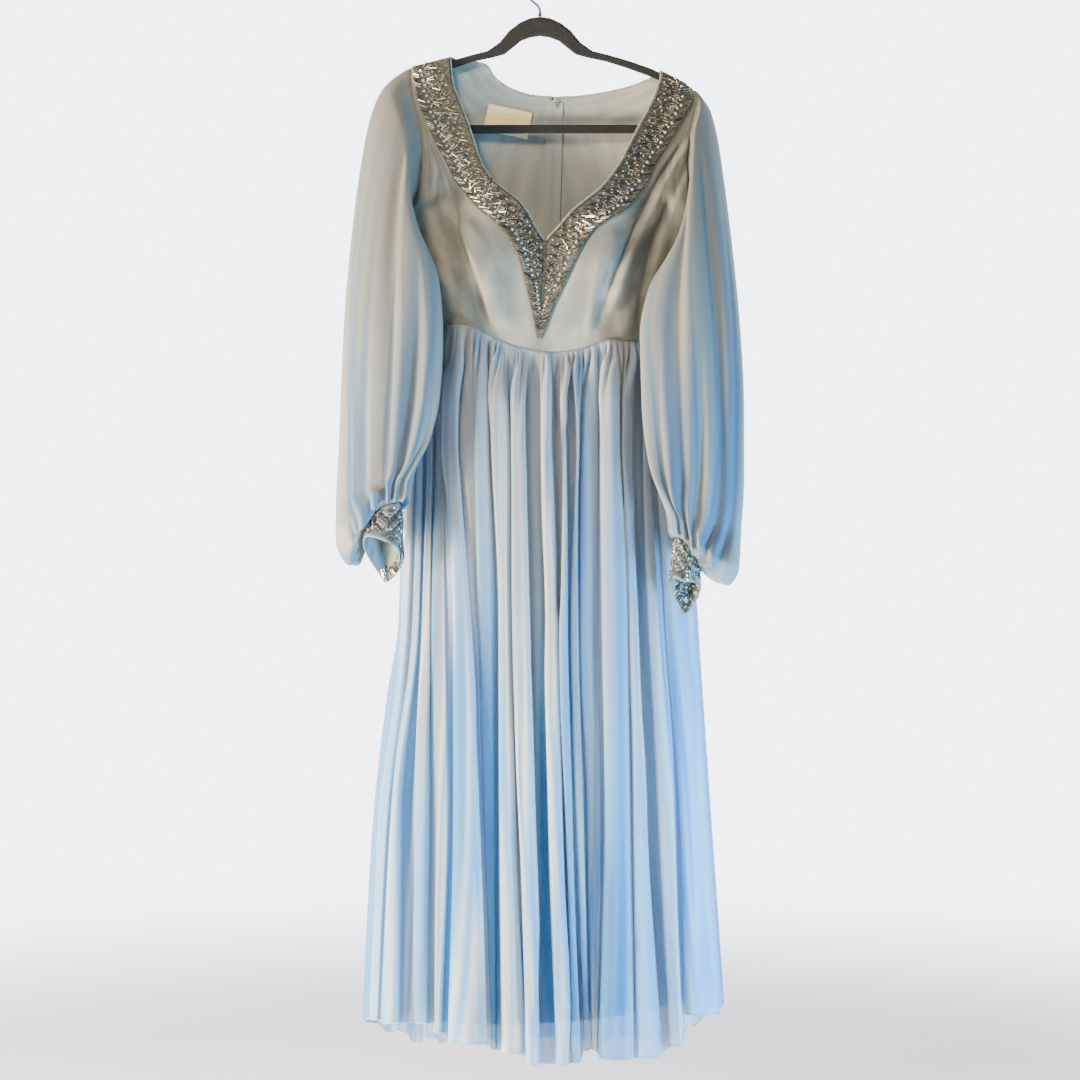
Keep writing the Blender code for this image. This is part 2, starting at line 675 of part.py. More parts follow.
def fold_edges(fold, z):
    left = through(FOLD_LEVELS, (fold.l1, fold.l2, fold.l3, fold.l4), z)
    right = through(FOLD_LEVELS, (fold.r1, fold.r2, fold.r3, fold.r4), z)
    return left, right


def front_column_list():
    """All columns of the front skirt: (fold, place, depth share), or a recess between two."""
    columns = [("side", "left", 0)]
    for k, fold in enumerate(FRONT_FOLDS):
        wide = fold.r1 - fold.l1 > 10
        columns += [(fold, place, share) for place, share in (WIDE_FOLD if wide else NARROW_FOLD)]
        if k + 1 < len(FRONT_FOLDS):
            columns.append(((fold, FRONT_FOLDS[k + 1]), None, 0))
    columns.append(("side", "right", 0))
    return columns


def column_at(column, z):
    """The column's x in the front view, its depth in front of the base, and its hem height."""
    what, place, share = column
    if what == "side":
        hem = SIDE_HEM_LEFT if place == "left" else SIDE_HEM_RIGHT
        return level(z, place), 0, hem
    if place is None:
        before, after = what
        x = (fold_edges(before, z)[1] + fold_edges(after, z)[0]) / 2
        return x, 0, (before.hem_z + after.hem_z) / 2 + RECESS_RISE
    left, right = fold_edges(what, z)
    deep = through((FOLD_LEVELS[0], FOLD_LEVELS[-1]), (what.top, what.hem), z)
    return mix(left, right, place), deep * share, what.hem_z


def seam_columns(columns):
    """Each column's own x on the waist seam: partly above its fold, partly evenly spaced."""
    own = [column_at(column, GATHER_END)[0] for column in columns]
    low = columns.index(("side", "left", 0)), len(columns) - 1
    result = []
    for k in range(len(own)):
        near = own[max(k - 3, low[0]):min(k + 3, low[1]) + 1]
        above = sum(near) / len(near)
        even = mix(SEAM_X[0], SEAM_X[-1], k / low[1])
        result.append(mix(above, even, 0.35))
    result[0], result[-1] = SEAM_X[0], SEAM_X[-1]
    return result


def skirt_front_rows():
    columns = front_column_list()
    tops = [seam_at(x, True) for x in seam_columns(columns)]
    rows = []
    for step in SKIRT_STEPS:
        row = []
        for j, (column, top) in enumerate(zip(columns, tops)):
            hem = column_at(column, FOLD_LEVELS[-1])[2]
            z = mix(top[1], hem, step) - SEAM_HALF * (step == 0)
            fallen = ease((top[1] - z) / (top[1] - GATHER_END))
            x, deep, _ = column_at(column, z)
            x = mix(top[0], x, fallen)
            side = j in (0, len(columns) - 1)
            gather = 0 if side else GATHER * (1 - fallen) * (-1) ** j
            y = mix(top[2], base_depth(x, z, True), fallen) - deep * fallen - gather
            if side:
                y = -SIDE_HALF
            row.append(real(x, z, y))
        rows.append(row)
    return rows


def back_columns(folds):
    """Columns from the side to the centre back, as (share of the half, depth share, depth)."""
    columns = [(0.0, 0.0), (0.035, 0.0)]
    for fold in sorted(folds, key=lambda f: -f.middle):
        outer, inner = 1 - fold.middle - fold.half, 1 - fold.middle + fold.half
        columns += [(outer, 0.0), (mix(outer, inner, 0.2), fold.deep),
                    (mix(outer, inner, 0.8), fold.deep), (inner, 0.0)]
    return columns


def skirt_back_rows(folds, side_sign):
    """Rows from the side seam to the centre back, the flat stretch by the zip last."""
    columns = back_columns(folds)
    side = "left" if side_sign < 0 else "right"
    start = SEAM_X[0] if side_sign < 0 else SEAM_X[-1]
    flat = (15.5, 8, 0)
    end = centre_back(BACK_SEAM_Z) + side_sign * (ZIP_SLOT + flat[0])
    tops = [seam_at(mix(start, end, share), False)
            for share in (k / len(columns) for k in range(len(columns)))]
    hem_side = SIDE_HEM_LEFT if side_sign < 0 else SIDE_HEM_RIGHT
    rows = []
    for step in BACK_STEPS:
        row = []
        for j, ((share, deep), top) in enumerate(zip(columns, tops)):
            hem = mix(hem_side, -1418, ease(share * 2.5)) - 0.5 * deep
            z = mix(top[1], hem, step) - SEAM_HALF * (step == 0)
            fallen = ease((top[1] - z) / (top[1] - GATHER_END))
            middle = centre_back(z) + side_sign * (ZIP_SLOT + flat[0])
            x = mix(level(z, side), middle, share)
            x = mix(top[0], x, fallen)
            deep_here = deep * mix(0.45, 1, ease((GATHER_END - z) / 800)) * fallen
            gather = 0 if j == 0 else GATHER * (1 - fallen) * (-1) ** j
            y = mix(top[2], base_depth(x, z, False), fallen) + deep_here + gather
            row.append(real(x, z, SIDE_HALF if j == 0 else y))
        for gap in flat:
            top = seam_at(centre_back(BACK_SEAM_Z) + side_sign * (ZIP_SLOT + gap), False)
            z = mix(top[1], -1418, step) - SEAM_HALF * (step == 0)
            closed = mix(ZIP_SLOT, SEAM_HALF, ease((ZIP_END - z) / 40))
            x = centre_back(z) + side_sign * (closed + gap)
            y = mix(top[2], base_depth(x, z, False), ease((top[1] - z) / 60))
            row.append(real(x, z, y))
        rows.append(row)
    return rows


def lining_rows(front):
    """A plain tube inside the folds, as one half of it, from the waist to short of the hem."""
    cuts = 20
    rows = []
    for step in LINING_STEPS:
        row = []
        for j in range(cuts + 1):
            turn = math.pi * j / cuts
            across = 0.5 - 0.5 * math.cos(turn)
            hem = mix(SIDE_HEM_LEFT, SIDE_HEM_RIGHT, across) - (50 if front else 26) * math.sin(turn)
            left, right = level(-484, "left") + LINING_INSET, level(-484, "right") - LINING_INSET
            z = mix(seam_point(mix(left, right, across), front)[1] - 4, hem + LINING_RISE, step)
            left, right = level(z, "left") + LINING_INSET, level(z, "right") - LINING_INSET
            x = mix(left, right, across)
            full = abs(level(z, "front" if front else "back")) - LINING_INSET
            hollow = front * ease((z + 900) / 300)
            deep = SIDE_HALF + side_depth(min(x - left, right - x), full, hollow, near=4)
            row.append(real(x, z, -deep if front else deep))
        rows.append(row)
    return rows


def make_skirt(finish, lining_finish, collection):
    cloth("skirt_front", [skirt_front_rows()], CHIFFON_WALL, finish, collection)
    for side, folds, sign in (("left", BACK_FOLDS_LEFT, -1), ("right", BACK_FOLDS_RIGHT, 1)):
        rows = skirt_back_rows(folds, sign)
        cloth(f"skirt_back_{side}", [rows], CHIFFON_WALL, finish, collection)
    for name, front in (("lining_front", True), ("lining_back", False)):
        cloth(name, [lining_rows(front)], LINING_WALL, lining_finish, collection)


# Fastenings and trims

def on_back(x, z, bodies):
    """How deep the inner face of the back lies at (x, z) in real millimetres."""
    depths = []
    for body in bodies:
        hit = body.ray_cast(Vector((x, -300, z)) * MM, Vector((0, 1, 0)))
        if hit[0] is not None:
            depths.append(hit[0].y / MM)
    return min(depths)


def strip(name, points_left, points_right, wall, finish, collection):
    rows = [[a, b] for a, b in zip(points_left, points_right)]
    return cloth(name, [rows], wall, finish, collection)


def back_depth(z):
    """Depth of the cloth's middle beside the zip, from neck to the zip's end."""
    stations = BACK_LEFT[NECK_ROW:]
    keys = [at.neck_z for at in stations] + [BACK_SEAM_Z, -530, -636, -700]
    values = [at.neck_y for at in stations] + [SEAM_BACK, 20, 25, 27.3]
    return through(keys, values, z)


def make_zip(finish, metal, collection):
    """Tapes inside the back edges, the chain between them, and the slider at the top."""
    levels = [-175, -200, -250, -320, -400, -455, -484, -530, -585, -648]
    inset = (BODICE_WALL + TAPE_WALL) / 2 + SEAM_GAP + 0.25
    for side, sign in (("left", -1), ("right", 1)):
        near, far = [], []
        for z in levels:
            y = back_depth(z) - inset
            near.append(real(centre_back(z) + sign * (CHAIN_HALF + 0.4), z, y))
            far.append(real(centre_back(z) + sign * TAPE_WIDTH, z, y - 0.2))
        strip(f"zip_tape_{side}", near, far, TAPE_WALL, finish, collection)
    edges = [[real(centre_back(z) + sign * CHAIN_HALF, z, back_depth(z) - inset + 0.2)
              for z in levels] for sign in (-1, 1)]
    strip("zip_chain", edges[0], edges[1], 1.4, metal, collection)


def box(name, size, middle):
    """A box mesh of a size about a middle, in millimetres."""
    body = bmesh.new()
    bmesh.ops.create_cube(body, size=1)
    body.transform(Matrix.Translation(Vector(middle) * MM) @ Matrix.Diagonal((*(s * MM for s in size), 1)))
    mesh = bpy.data.meshes.new(name)
    body.to_mesh(mesh)
    body.free()
    return mesh


def rod(name, radius, length, middle, segments=16):
    """A round bar along X."""
    body = bmesh.new()
    bmesh.ops.create_cone(body, cap_ends=True, segments=segments, radius1=radius * MM,
                          radius2=radius * MM, depth=length * MM)
    body.transform(Matrix.Translation(Vector(middle) * MM) @ Matrix.Rotation(math.pi / 2, 4, "Y"))
    mesh = bpy.data.meshes.new(name)
    body.to_mesh(mesh)
    body.free()
    return mesh


def combine(target, mesh, operation, cutters):
    """Joins a mesh to the target, or cuts it from it."""
    tool = bpy.data.objects.new(mesh.name, mesh)
    cutters.objects.link(tool)
    tool.hide_render = True
    tool.display_type = "WIRE"
    cut = target.modifiers.new(mesh.name, "BOOLEAN")
    cut.operation = operation
    cut.object = tool


def make_slider(metal, collection, cutters):
    """The slider at the closed zip's top, and its pull, hinged on a pin between two ears."""
    top = real(centre_back(ZIP_TOP), ZIP_TOP - 8, back_depth(ZIP_TOP - 8))
    out = top.y + BODICE_WALL / 2 + SEAM_GAP + 0.35 + SLIDER[1] / 2
    middle = Vector((top.x, out, top.z))
    slider = add_object("zip_slider", box("zip_slider", SLIDER, middle), metal, collection)
    stem = box("slider_stem", (2.4, 2.6, 5), (middle.x, middle.y - 1.6, middle.z))
    combine(slider, stem, "UNION", cutters)
    pivot = middle + Vector((0, SLIDER[1] / 2 + PIVOT_OUT, 0))
    reach = PIVOT_OUT + EAR[1] / 2
    for sign in (-1, 1):
        at = (pivot.x + sign * (BARREL_LENGTH / 2 + 0.4 + EAR[0] / 2),
              middle.y + SLIDER[1] / 2 + reach / 2 - 0.4, pivot.z)
        combine(slider, box(f"slider_ear_{sign}", (EAR[0], reach, EAR[2]), at), "UNION", cutters)
    pin = rod("slider_pin", PIN_RADIUS, BARREL_LENGTH + 2 * EAR[0], pivot)
    combine(slider, pin, "UNION", cutters)

    pull = bpy.data.objects.new("zip_pull", rod("zip_pull", BARREL_OUTER, BARREL_LENGTH, (0, 0, 0)))
    collection.objects.link(pull)
    pull.data.materials.append(metal)
    pull.location = pivot * MM
    neck = box("pull_neck", (BARREL_LENGTH, PULL[1], 3), pivot + Vector((0, 0, -2.5)))
    combine(pull, neck, "UNION", cutters)
    tab = box("pull_tab", PULL, pivot + Vector((0, 0, -PULL[2] / 2 - 3.4)))
    combine(pull, tab, "UNION", cutters)
    eye = rod("pull_eye", BARREL_INNER, BARREL_LENGTH + 2, pivot)
    combine(pull, eye, "DIFFERENCE", cutters)
    slot = box("pull_slot", (2.2, 3, 5), pivot + Vector((0, 0, -PULL[2] + 1.2)))
    combine(pull, slot, "DIFFERENCE", cutters)
    return pivot


def make_label(backs, finish, collection):
    """The plain woven label on the inner left back, turned a little."""
    graph = bpy.context.evaluated_depsgraph_get()
    bodies = [BVHTree.FromObject(body, graph) for body in backs.values()]
    turn = math.radians(LABEL_TURN)
    rows = []
    for i in range(3):
        row = []
        for j in range(4):
            u, v = (j / 3 - 0.5) * LABEL[0], (0.5 - i / 2) * LABEL[1]
            flat = real(LABEL_AT[0] + u * math.cos(turn) - v * math.sin(turn),
                        LABEL_AT[1] + u * math.sin(turn) + v * math.cos(turn), 10)
            y = on_back(flat.x, flat.z, bodies) - SEAM_GAP - 0.15 - LABEL_WALL / 2
            row.append(Vector((flat.x, y, flat.z)))
        rows.append(row)
    cloth("label", [rows], LABEL_WALL, finish, collection)


def tube(name, points, radius, finish, collection, resolution=0, radii=None):
    """A round cord or wire through points in millimetres, its ends closed."""
    curve = bpy.data.curves.new(name, "CURVE")
    curve.dimensions = "3D"
    curve.bevel_depth = radius * MM
    curve.bevel_resolution = resolution
    curve.use_fill_caps = True
    spline = curve.splines.new("POLY")
    spline.points.add(len(points) - 1)
    for k, point in enumerate(points):
        spline.points[k].co = (*(Vector(point) * MM), 1)
        spline.points[k].radius = radii[k] if radii else 1
    return add_object(name, curve, finish, collection)


def make_binding(left, right, backs, finish, collection):
    """The rolled edge round the neck: from the zip, over each shoulder and down to the V."""
    away = BINDING_RADIUS + SEAM_GAP + 0.1

    def outside(rows):
        """The rows' first points moved out of the cloth's edge, square to the edge."""
        edge = [row[0] for row in rows]
        moved = []
        for k, row in enumerate(rows):
            along = (edge[min(k + 1, len(edge) - 1)] - edge[max(k - 1, 0)]).normalized()
            step = row[0] - row[1]
            step -= along * step.dot(along)
            moved.append(row[0] + step.normalized() * away)
        return moved

    front_left = outside(left[:V_ROW + 1])[1:V_ROW]
    front_right = outside(right[:V_ROW + 1])[1:V_ROW]
    point = left[V_ROW][0] + Vector((0, 0, away * 1.9))
    back_left = outside(backs["bodice_back_left"][:NECK_ROW + 1])[1:]
    back_right = outside(backs["bodice_back_right"][:NECK_ROW + 1])[1:]
    tops = [(front[0][0] + back[0][0]) / 2 + Vector((sign * away, 0, 0))
            for front, back, sign in ((left, backs["bodice_back_left"], 1),
                                      (right, backs["bodice_back_right"], -1))]
    line = [*reversed(back_left), tops[0], *front_left, point]
    line += [*reversed(front_right), tops[1], *back_right]
    tube("neck_binding", line, BINDING_RADIUS, finish, collection, resolution=1)


# Hanger

def make_hanger(finish, metal, collection):
    mirrored = [((-a[0], a[1]), (-b[0], b[1])) for a, b in reversed(HANGER_HALF[1:])]
    section = list(HANGER_PROFILE) + [(s, -y) for s, y in reversed(HANGER_PROFILE)]
    rings = [[Vector((mix(a[0], b[0], s), y, mix(a[1], b[1], s))) for s, y in section]
             for a, b in HANGER_HALF + mirrored]
    around = [list(line) for line in zip(*rings)]
    around.append(around[0])
    add_object("hanger_frame", mesh_from_grids("hanger_frame", [around], ring=True), finish, collection)

    middle = WIRE / 2 - HOOK_RADIUS
    line = [(0, 0, NECK_TOP + 0.35), (0, 0, NECK_TOP + 2.2), (0, 0, NECK_TOP + 4.5),
            (0, 0, NECK_TOP + 9), (-2, 0, NECK_TOP + 14), (-8.5, 0, NECK_TOP + 19.5)]
    radii = [2.0, 2.0, 1.3] + [1] * 3
    for k in range(19):
        angle = math.radians(215 - k * 13)
        line.append((HOOK_RADIUS * math.cos(angle), 0, middle + HOOK_RADIUS * math.sin(angle)))
        radii.append(1)
    tube("hanger_hook", line, WIRE / 2, metal, collection, resolution=2, radii=radii)


def main():
    for old in list(bpy.data.objects):
        bpy.data.objects.remove(old)
    dress = bpy.data.collections.new("evening_dress")
    cutters = bpy.data.collections.new("cutters")
    for made in (dress, cutters):
        bpy.context.scene.collection.children.link(made)

    crepe = material("crepe", (0.46, 0.55, 0.62), 0.6)
    chiffon = material("chiffon", (0.50, 0.63, 0.76), 0.65)
    taffeta = material("taffeta", (0.38, 0.52, 0.66), 0.5)
    beadwork = material("beadwork", (0.42, 0.40, 0.34), 0.35, 0.5)
    tape = material("tape", (0.36, 0.44, 0.48), 0.7)
    nickel = material("nickel", (0.62, 0.60, 0.55), 0.3, 1.0)
    flock = material("flock", (0.02, 0.02, 0.02), 0.9)
    steel = material("steel", (0.75, 0.75, 0.76), 0.2, 1.0)
    satin = material("satin", (0.80, 0.74, 0.60), 0.5)

    left, right, backs, made_backs = make_bodice(crepe, dress)
    make_neck_band(left, right, beadwork, dress)
    make_binding(left, right, backs, crepe, dress)
    make_sleeves(chiffon, beadwork, dress)
    make_skirt(chiffon, taffeta, dress)
    make_zip(tape, nickel, dress)
    make_slider(nickel, dress, cutters)
    bpy.context.view_layer.update()
    make_label(made_backs, satin, dress)
    make_hanger(flock, steel, dress)


main()
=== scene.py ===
# Long-sleeved evening dress on a flocked hanger. Tables are in millimetres, meshes in metres.
# The front faces -Y, +X is the right of the front view, +Z is up, and the origin is inside the hook.
import math

import bmesh
import bpy
import numpy as np
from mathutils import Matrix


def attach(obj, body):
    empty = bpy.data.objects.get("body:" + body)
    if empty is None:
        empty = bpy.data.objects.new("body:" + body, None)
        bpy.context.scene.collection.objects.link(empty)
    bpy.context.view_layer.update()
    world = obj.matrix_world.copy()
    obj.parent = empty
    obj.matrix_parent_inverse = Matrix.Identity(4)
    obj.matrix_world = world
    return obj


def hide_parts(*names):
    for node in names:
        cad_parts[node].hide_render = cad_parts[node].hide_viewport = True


print("loading the frame")
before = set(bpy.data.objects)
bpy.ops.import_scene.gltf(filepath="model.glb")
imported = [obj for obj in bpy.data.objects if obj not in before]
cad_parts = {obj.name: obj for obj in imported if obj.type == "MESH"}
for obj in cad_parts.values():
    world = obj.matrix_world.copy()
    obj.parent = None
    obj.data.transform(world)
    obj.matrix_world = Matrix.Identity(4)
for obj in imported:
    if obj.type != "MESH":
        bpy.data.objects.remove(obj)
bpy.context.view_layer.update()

camera = {"distance": 3200, "height": -756, "lens": 80.2, "sensor": 36}
millimetre = 0.001
collection = bpy.context.scene.collection
front, rear = np.array([0, -1, 0]), np.array([0, 1, 0])


# Curves and grids

def mix(a, b, share):
    return a + (b - a) * share


def ease(share):
    share = np.clip(share, 0, 1)
    return share * share * (3 - 2 * share)


def rounded(share):
    # a quarter circle: rises straight out of 0 and is level at 1
    share = np.clip(share, 0, 1)
    return np.sqrt(share * (2 - share))


def unit(vectors):
    return vectors / np.maximum(np.linalg.norm(vectors, axis=-1, keepdims=True), 1e-9)


def runningSum(steps):
    return np.concatenate([[0], steps.cumsum()])


def bell(distance):
    return np.exp(-(distance ** 2))


def calm(share, start, end):
    # 1 in the middle and 0 at both ends, the steeper the larger the two numbers
    return ease(share * start) * ease((1 - share) * end)


def paced(ends, counts):
    # places in two stretches, from the first end to the second and on to the third
    return np.concatenate([np.linspace(*ends[:2], counts[0])[:-1], np.linspace(*ends[1:], counts[1])])


def shares(grid):
    # how far down each row is and how far across each column is, from 0 to 1
    return np.linspace(0, 1, grid.shape[0])[:, None], np.linspace(0, 1, grid.shape[1])[None, :]


def through(keys, values, at):
    # smooth curve through the values at the keys: cubic steps, with no overshoot
    keys, values = np.asarray(keys, float), np.asarray(values, float)
    if keys[0] > keys[-1]:
        keys, values = keys[::-1], values[::-1]
    wide = (-1,) + (1,) * (values.ndim - 1)
    span = np.diff(keys)
    steps = np.diff(values, axis=0) / span.reshape(wide)
    before, after = steps[:-1], steps[1:]
    total = before + after
    inner = np.where(before * after > 0, 2 * before * after / np.where(total == 0, 1, total), 0)
    slopes = np.concatenate([steps[:1], inner, steps[-1:]])
    at = np.clip(np.asarray(at, float), keys[0], keys[-1])
    i = np.clip(np.searchsorted(keys, at, side="right") - 1, 0, len(keys) - 2)
    t = ((at - keys[i]) / span[i]).reshape(at.shape + wide[1:])
    gap = span[i].reshape(t.shape)
    return (values[i] * (1 + 2 * t) * (1 - t) ** 2 + slopes[i] * gap * t * (1 - t) ** 2
            + values[i + 1] * t * t * (3 - 2 * t) + slopes[i + 1] * gap * t * t * (t - 1))


def refine(points, rows=None, columns=None):
    # a finer grid on smooth curves through the grid's own points; rows and columns are index places or a count
    for axis, at in enumerate((rows, columns)):
        if at is not None:
            turned = np.swapaxes(points, 0, axis)
            last = len(turned) - 1
            at = np.linspace(0, last, at) if isinstance(at, int) else at
            points = np.swapaxes(through(np.arange(last + 1), turned, at), 0, axis)
    return points


# how many seeded values a line and a field of noise hold, and which of them lies at 0
noise = {"line": 997, "lineZero": 300, "field": (97, 89), "fieldZero": 40}


def wander(at, seed, pitch=1.0):
    # smooth random line from -1 to 1, its seeded values a pitch apart
    count = noise["line"]
    values = np.random.default_rng(seed).uniform(-1, 1, count)
    place = np.asarray(at, float) / pitch + noise["lineZero"]
    i = np.floor(place).astype(int)
    t = ease(place - i)
    return values[i % count] * (1 - t) + values[(i + 1) % count] * t


def drift(a, b, seed):
    # smooth random field from -1 to 1 over two directions, one value to a unit
    wide, deep = noise["field"]
    values = np.random.default_rng(seed).uniform(-1, 1, (wide, deep))
    a, b = np.broadcast_arrays(*(np.asarray(place, float) + noise["fieldZero"] for place in (a, b)))
    i, j = np.floor(a).astype(int), np.floor(b).astype(int)
    s, t = ease(a - i), ease(b - j)
    upper, lower = (mix(values[k % wide, j % deep], values[k % wide, (j + 1) % deep], t) for k in (i, i + 1))
    return mix(upper, lower, s)


def around(turns, scale, down, seed):
    # drift read round a circle, so that it closes round an arm
    angle = turns * 2 * np.pi
    return drift(np.cos(angle) * scale + down, np.sin(angle) * scale + 0.37 * down, seed)


def gathers(phase):
    # row of full round folds with narrow valleys, one to a unit: the root of a cosine's size
    return np.abs(np.cos(np.pi * phase)) ** 0.65 * 2 - 1.15


def realPlace(x, z, y):
    # a point seen at (x, z) from the camera, brought to its own depth y
    x, z, y = np.broadcast_arrays(np.asarray(x, float), z, y)
    near = (camera["distance"] + y) / camera["distance"]
    return np.stack([x * near, y, camera["height"] + (z - camera["height"]) * near], axis=-1)


def asReal(grid):
    return realPlace(grid[..., 0], grid[..., 1], grid[..., 2])


def normalsOf(points, outward, closed=False):
    # cross product of the grid's two directions, turned to the outer side as a whole
    across = (np.roll(points, -1, 1) - np.roll(points, 1, 1)) / 2 if closed else np.gradient(points, axis=1)
    normal = unit(np.cross(np.gradient(points, axis=0), across))
    return normal * (1 if (normal * outward).sum(-1).mean() > 0 else -1)


def raised(points, height, outward, closed=False):
    # height is one number or a grid of them
    return points + normalsOf(points, outward, closed) * np.asarray(height)[..., None]


def joinMiddle(halves, row):
    # two halves of a front share their centre line from this row down
    middle = (halves[0][row:, 0] + halves[1][row:, 0]) / 2
    for grid in halves:
        grid[row:, 0] = middle


def settled(mesh, weld=False, fill=False):
    # welds the corners that meet or fills the open ends, and turns every face outwards
    body = bmesh.new()
    body.from_mesh(mesh)
    if weld:
        bmesh.ops.remove_doubles(body, verts=body.verts, dist=0.002 * millimetre)
    if fill:
        bmesh.ops.holes_fill(body, edges=[e for e in body.edges if e.is_boundary], sides=0)
    bmesh.ops.recalc_face_normals(body, faces=body.faces)
    body.to_mesh(mesh)
    body.free()
    return mesh


def gridMesh(name, grids, closed=False):
    # quads between the rows and columns of each grid; the UV map runs along the cloth in metres
    corners, faces, flat, start = [], [], [], 0
    upper, lower = slice(0, -1), slice(1, None)
    for points in grids:
        index = np.arange(points[..., 0].size).reshape(points.shape[:2]) + start
        start += index.size
        corners.append(points.reshape(-1, 3))
        if closed:
            index, points = (np.concatenate([grid, grid[:, :1]], axis=1) for grid in (index, points))
        across = np.linalg.norm(np.diff(points, axis=1), axis=-1).mean(0)
        along = np.linalg.norm(np.diff(points, axis=0), axis=-1).mean(1)
        u, v = np.meshgrid(runningSum(across), runningSum(along))
        uv = np.stack([u, -v], -1) * millimetre
        quads = (upper, upper), (lower, upper), (lower, lower), (upper, lower)
        faces.append(np.stack([index[q] for q in quads], -1).reshape(-1, 4))
        flat.append(np.stack([uv[q] for q in quads], -2).reshape(-1, 2))
    mesh = bpy.data.meshes.new(name)
    mesh.from_pydata((np.concatenate(corners) * millimetre).tolist(), [], np.concatenate(faces).tolist())
    mesh.uv_layers.new(name="UVMap").data.foreach_set("uv", np.concatenate(flat).ravel())
    settled(mesh, weld=True).shade_smooth()
    return mesh


def ringsOf(one, other, sides):
    # a unit circle of corners at each place, in the plane of two directions
    angle = np.arange(sides) * 2 * np.pi / sides
    return np.cos(angle)[None, :, None] * one[:, None] + np.sin(angle)[None, :, None] * other[:, None]


def tubeMesh(name, line, radius, sides=8):
    # rings of a round cord carried along a line, their cross directions kept square to it
    along = unit(np.gradient(line, axis=0))
    # none of the lines runs in this direction
    side = unit(np.cross(along, (0.13, 1.0, 0.21)))
    points = line[:, None] + ringsOf(side, np.cross(along, side), sides) * radius
    mesh = settled(gridMesh(name, [points], closed=True), fill=True)
    mesh.shade_smooth()
    return mesh


def addPiece(name, mesh, finish, node=None):
    made = bpy.data.objects.new(name, mesh)
    collection.objects.link(made)
    mesh.materials.append(finish)
    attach(made, "dress")
    if node:
        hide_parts(node)
    return made


def addCloth(name, grids, finish, node, wall, closed=False):
    # a sheet of cloth, its wall centred on the grids
    made = addPiece(name, gridMesh(name, grids, closed), finish, node)
    thicken = made.modifiers.new("wall", "SOLIDIFY")
    thicken.thickness, thicken.offset = wall * millimetre, 0
    return made


# Materials

def colour(code):
    # sRGB hex to linear
    parts = [int(code[k:k + 2], 16) / 255 for k in (0, 2, 4)]
    return tuple(c / 12.92 if c <= 0.04045 else ((c + 0.055) / 1.055) ** 2.4 for c in parts) + (1,)


def addNode(nodes, kind, settings=None, stops=(), **inputs):
    # adds a node, sets its own fields and a ramp's colour stops, and sets or links its inputs by name or number;
    # a node given as an input stands for its first output
    made = nodes.nodes.new(kind)
    for k, (place, shade) in enumerate(stops):
        stop = made.color_ramp.elements[k] if k < 2 else made.color_ramp.elements.new(place)
        stop.position, stop.color = place, shade
    for key, value in (settings or {}).items():
        setattr(made, key, value)
    for key, value in inputs.items():
        numbered = key[0] == "_" and key[1:].isdigit()
        socket = made.inputs[int(key[1:]) if numbered else key.replace("_", " ")]
        value = value.outputs[0] if isinstance(value, bpy.types.Node) else value
        if isinstance(value, bpy.types.NodeSocket):
            nodes.links.new(value, socket)
        else:
            socket.default_value = value
    return made


def newMaterial(name):
    made = bpy.data.materials.new(name)
    made.use_nodes = True
    made.node_tree.nodes.clear()
    return made, made.node_tree


weave = {
    # where the shades lie in the noise, the radians that a wave turns in a unit, and its unevenness
    "shadesFrom": 0.36, "shadesTo": 0.64, "waveRate": 20, "uneven": 0.6,
}


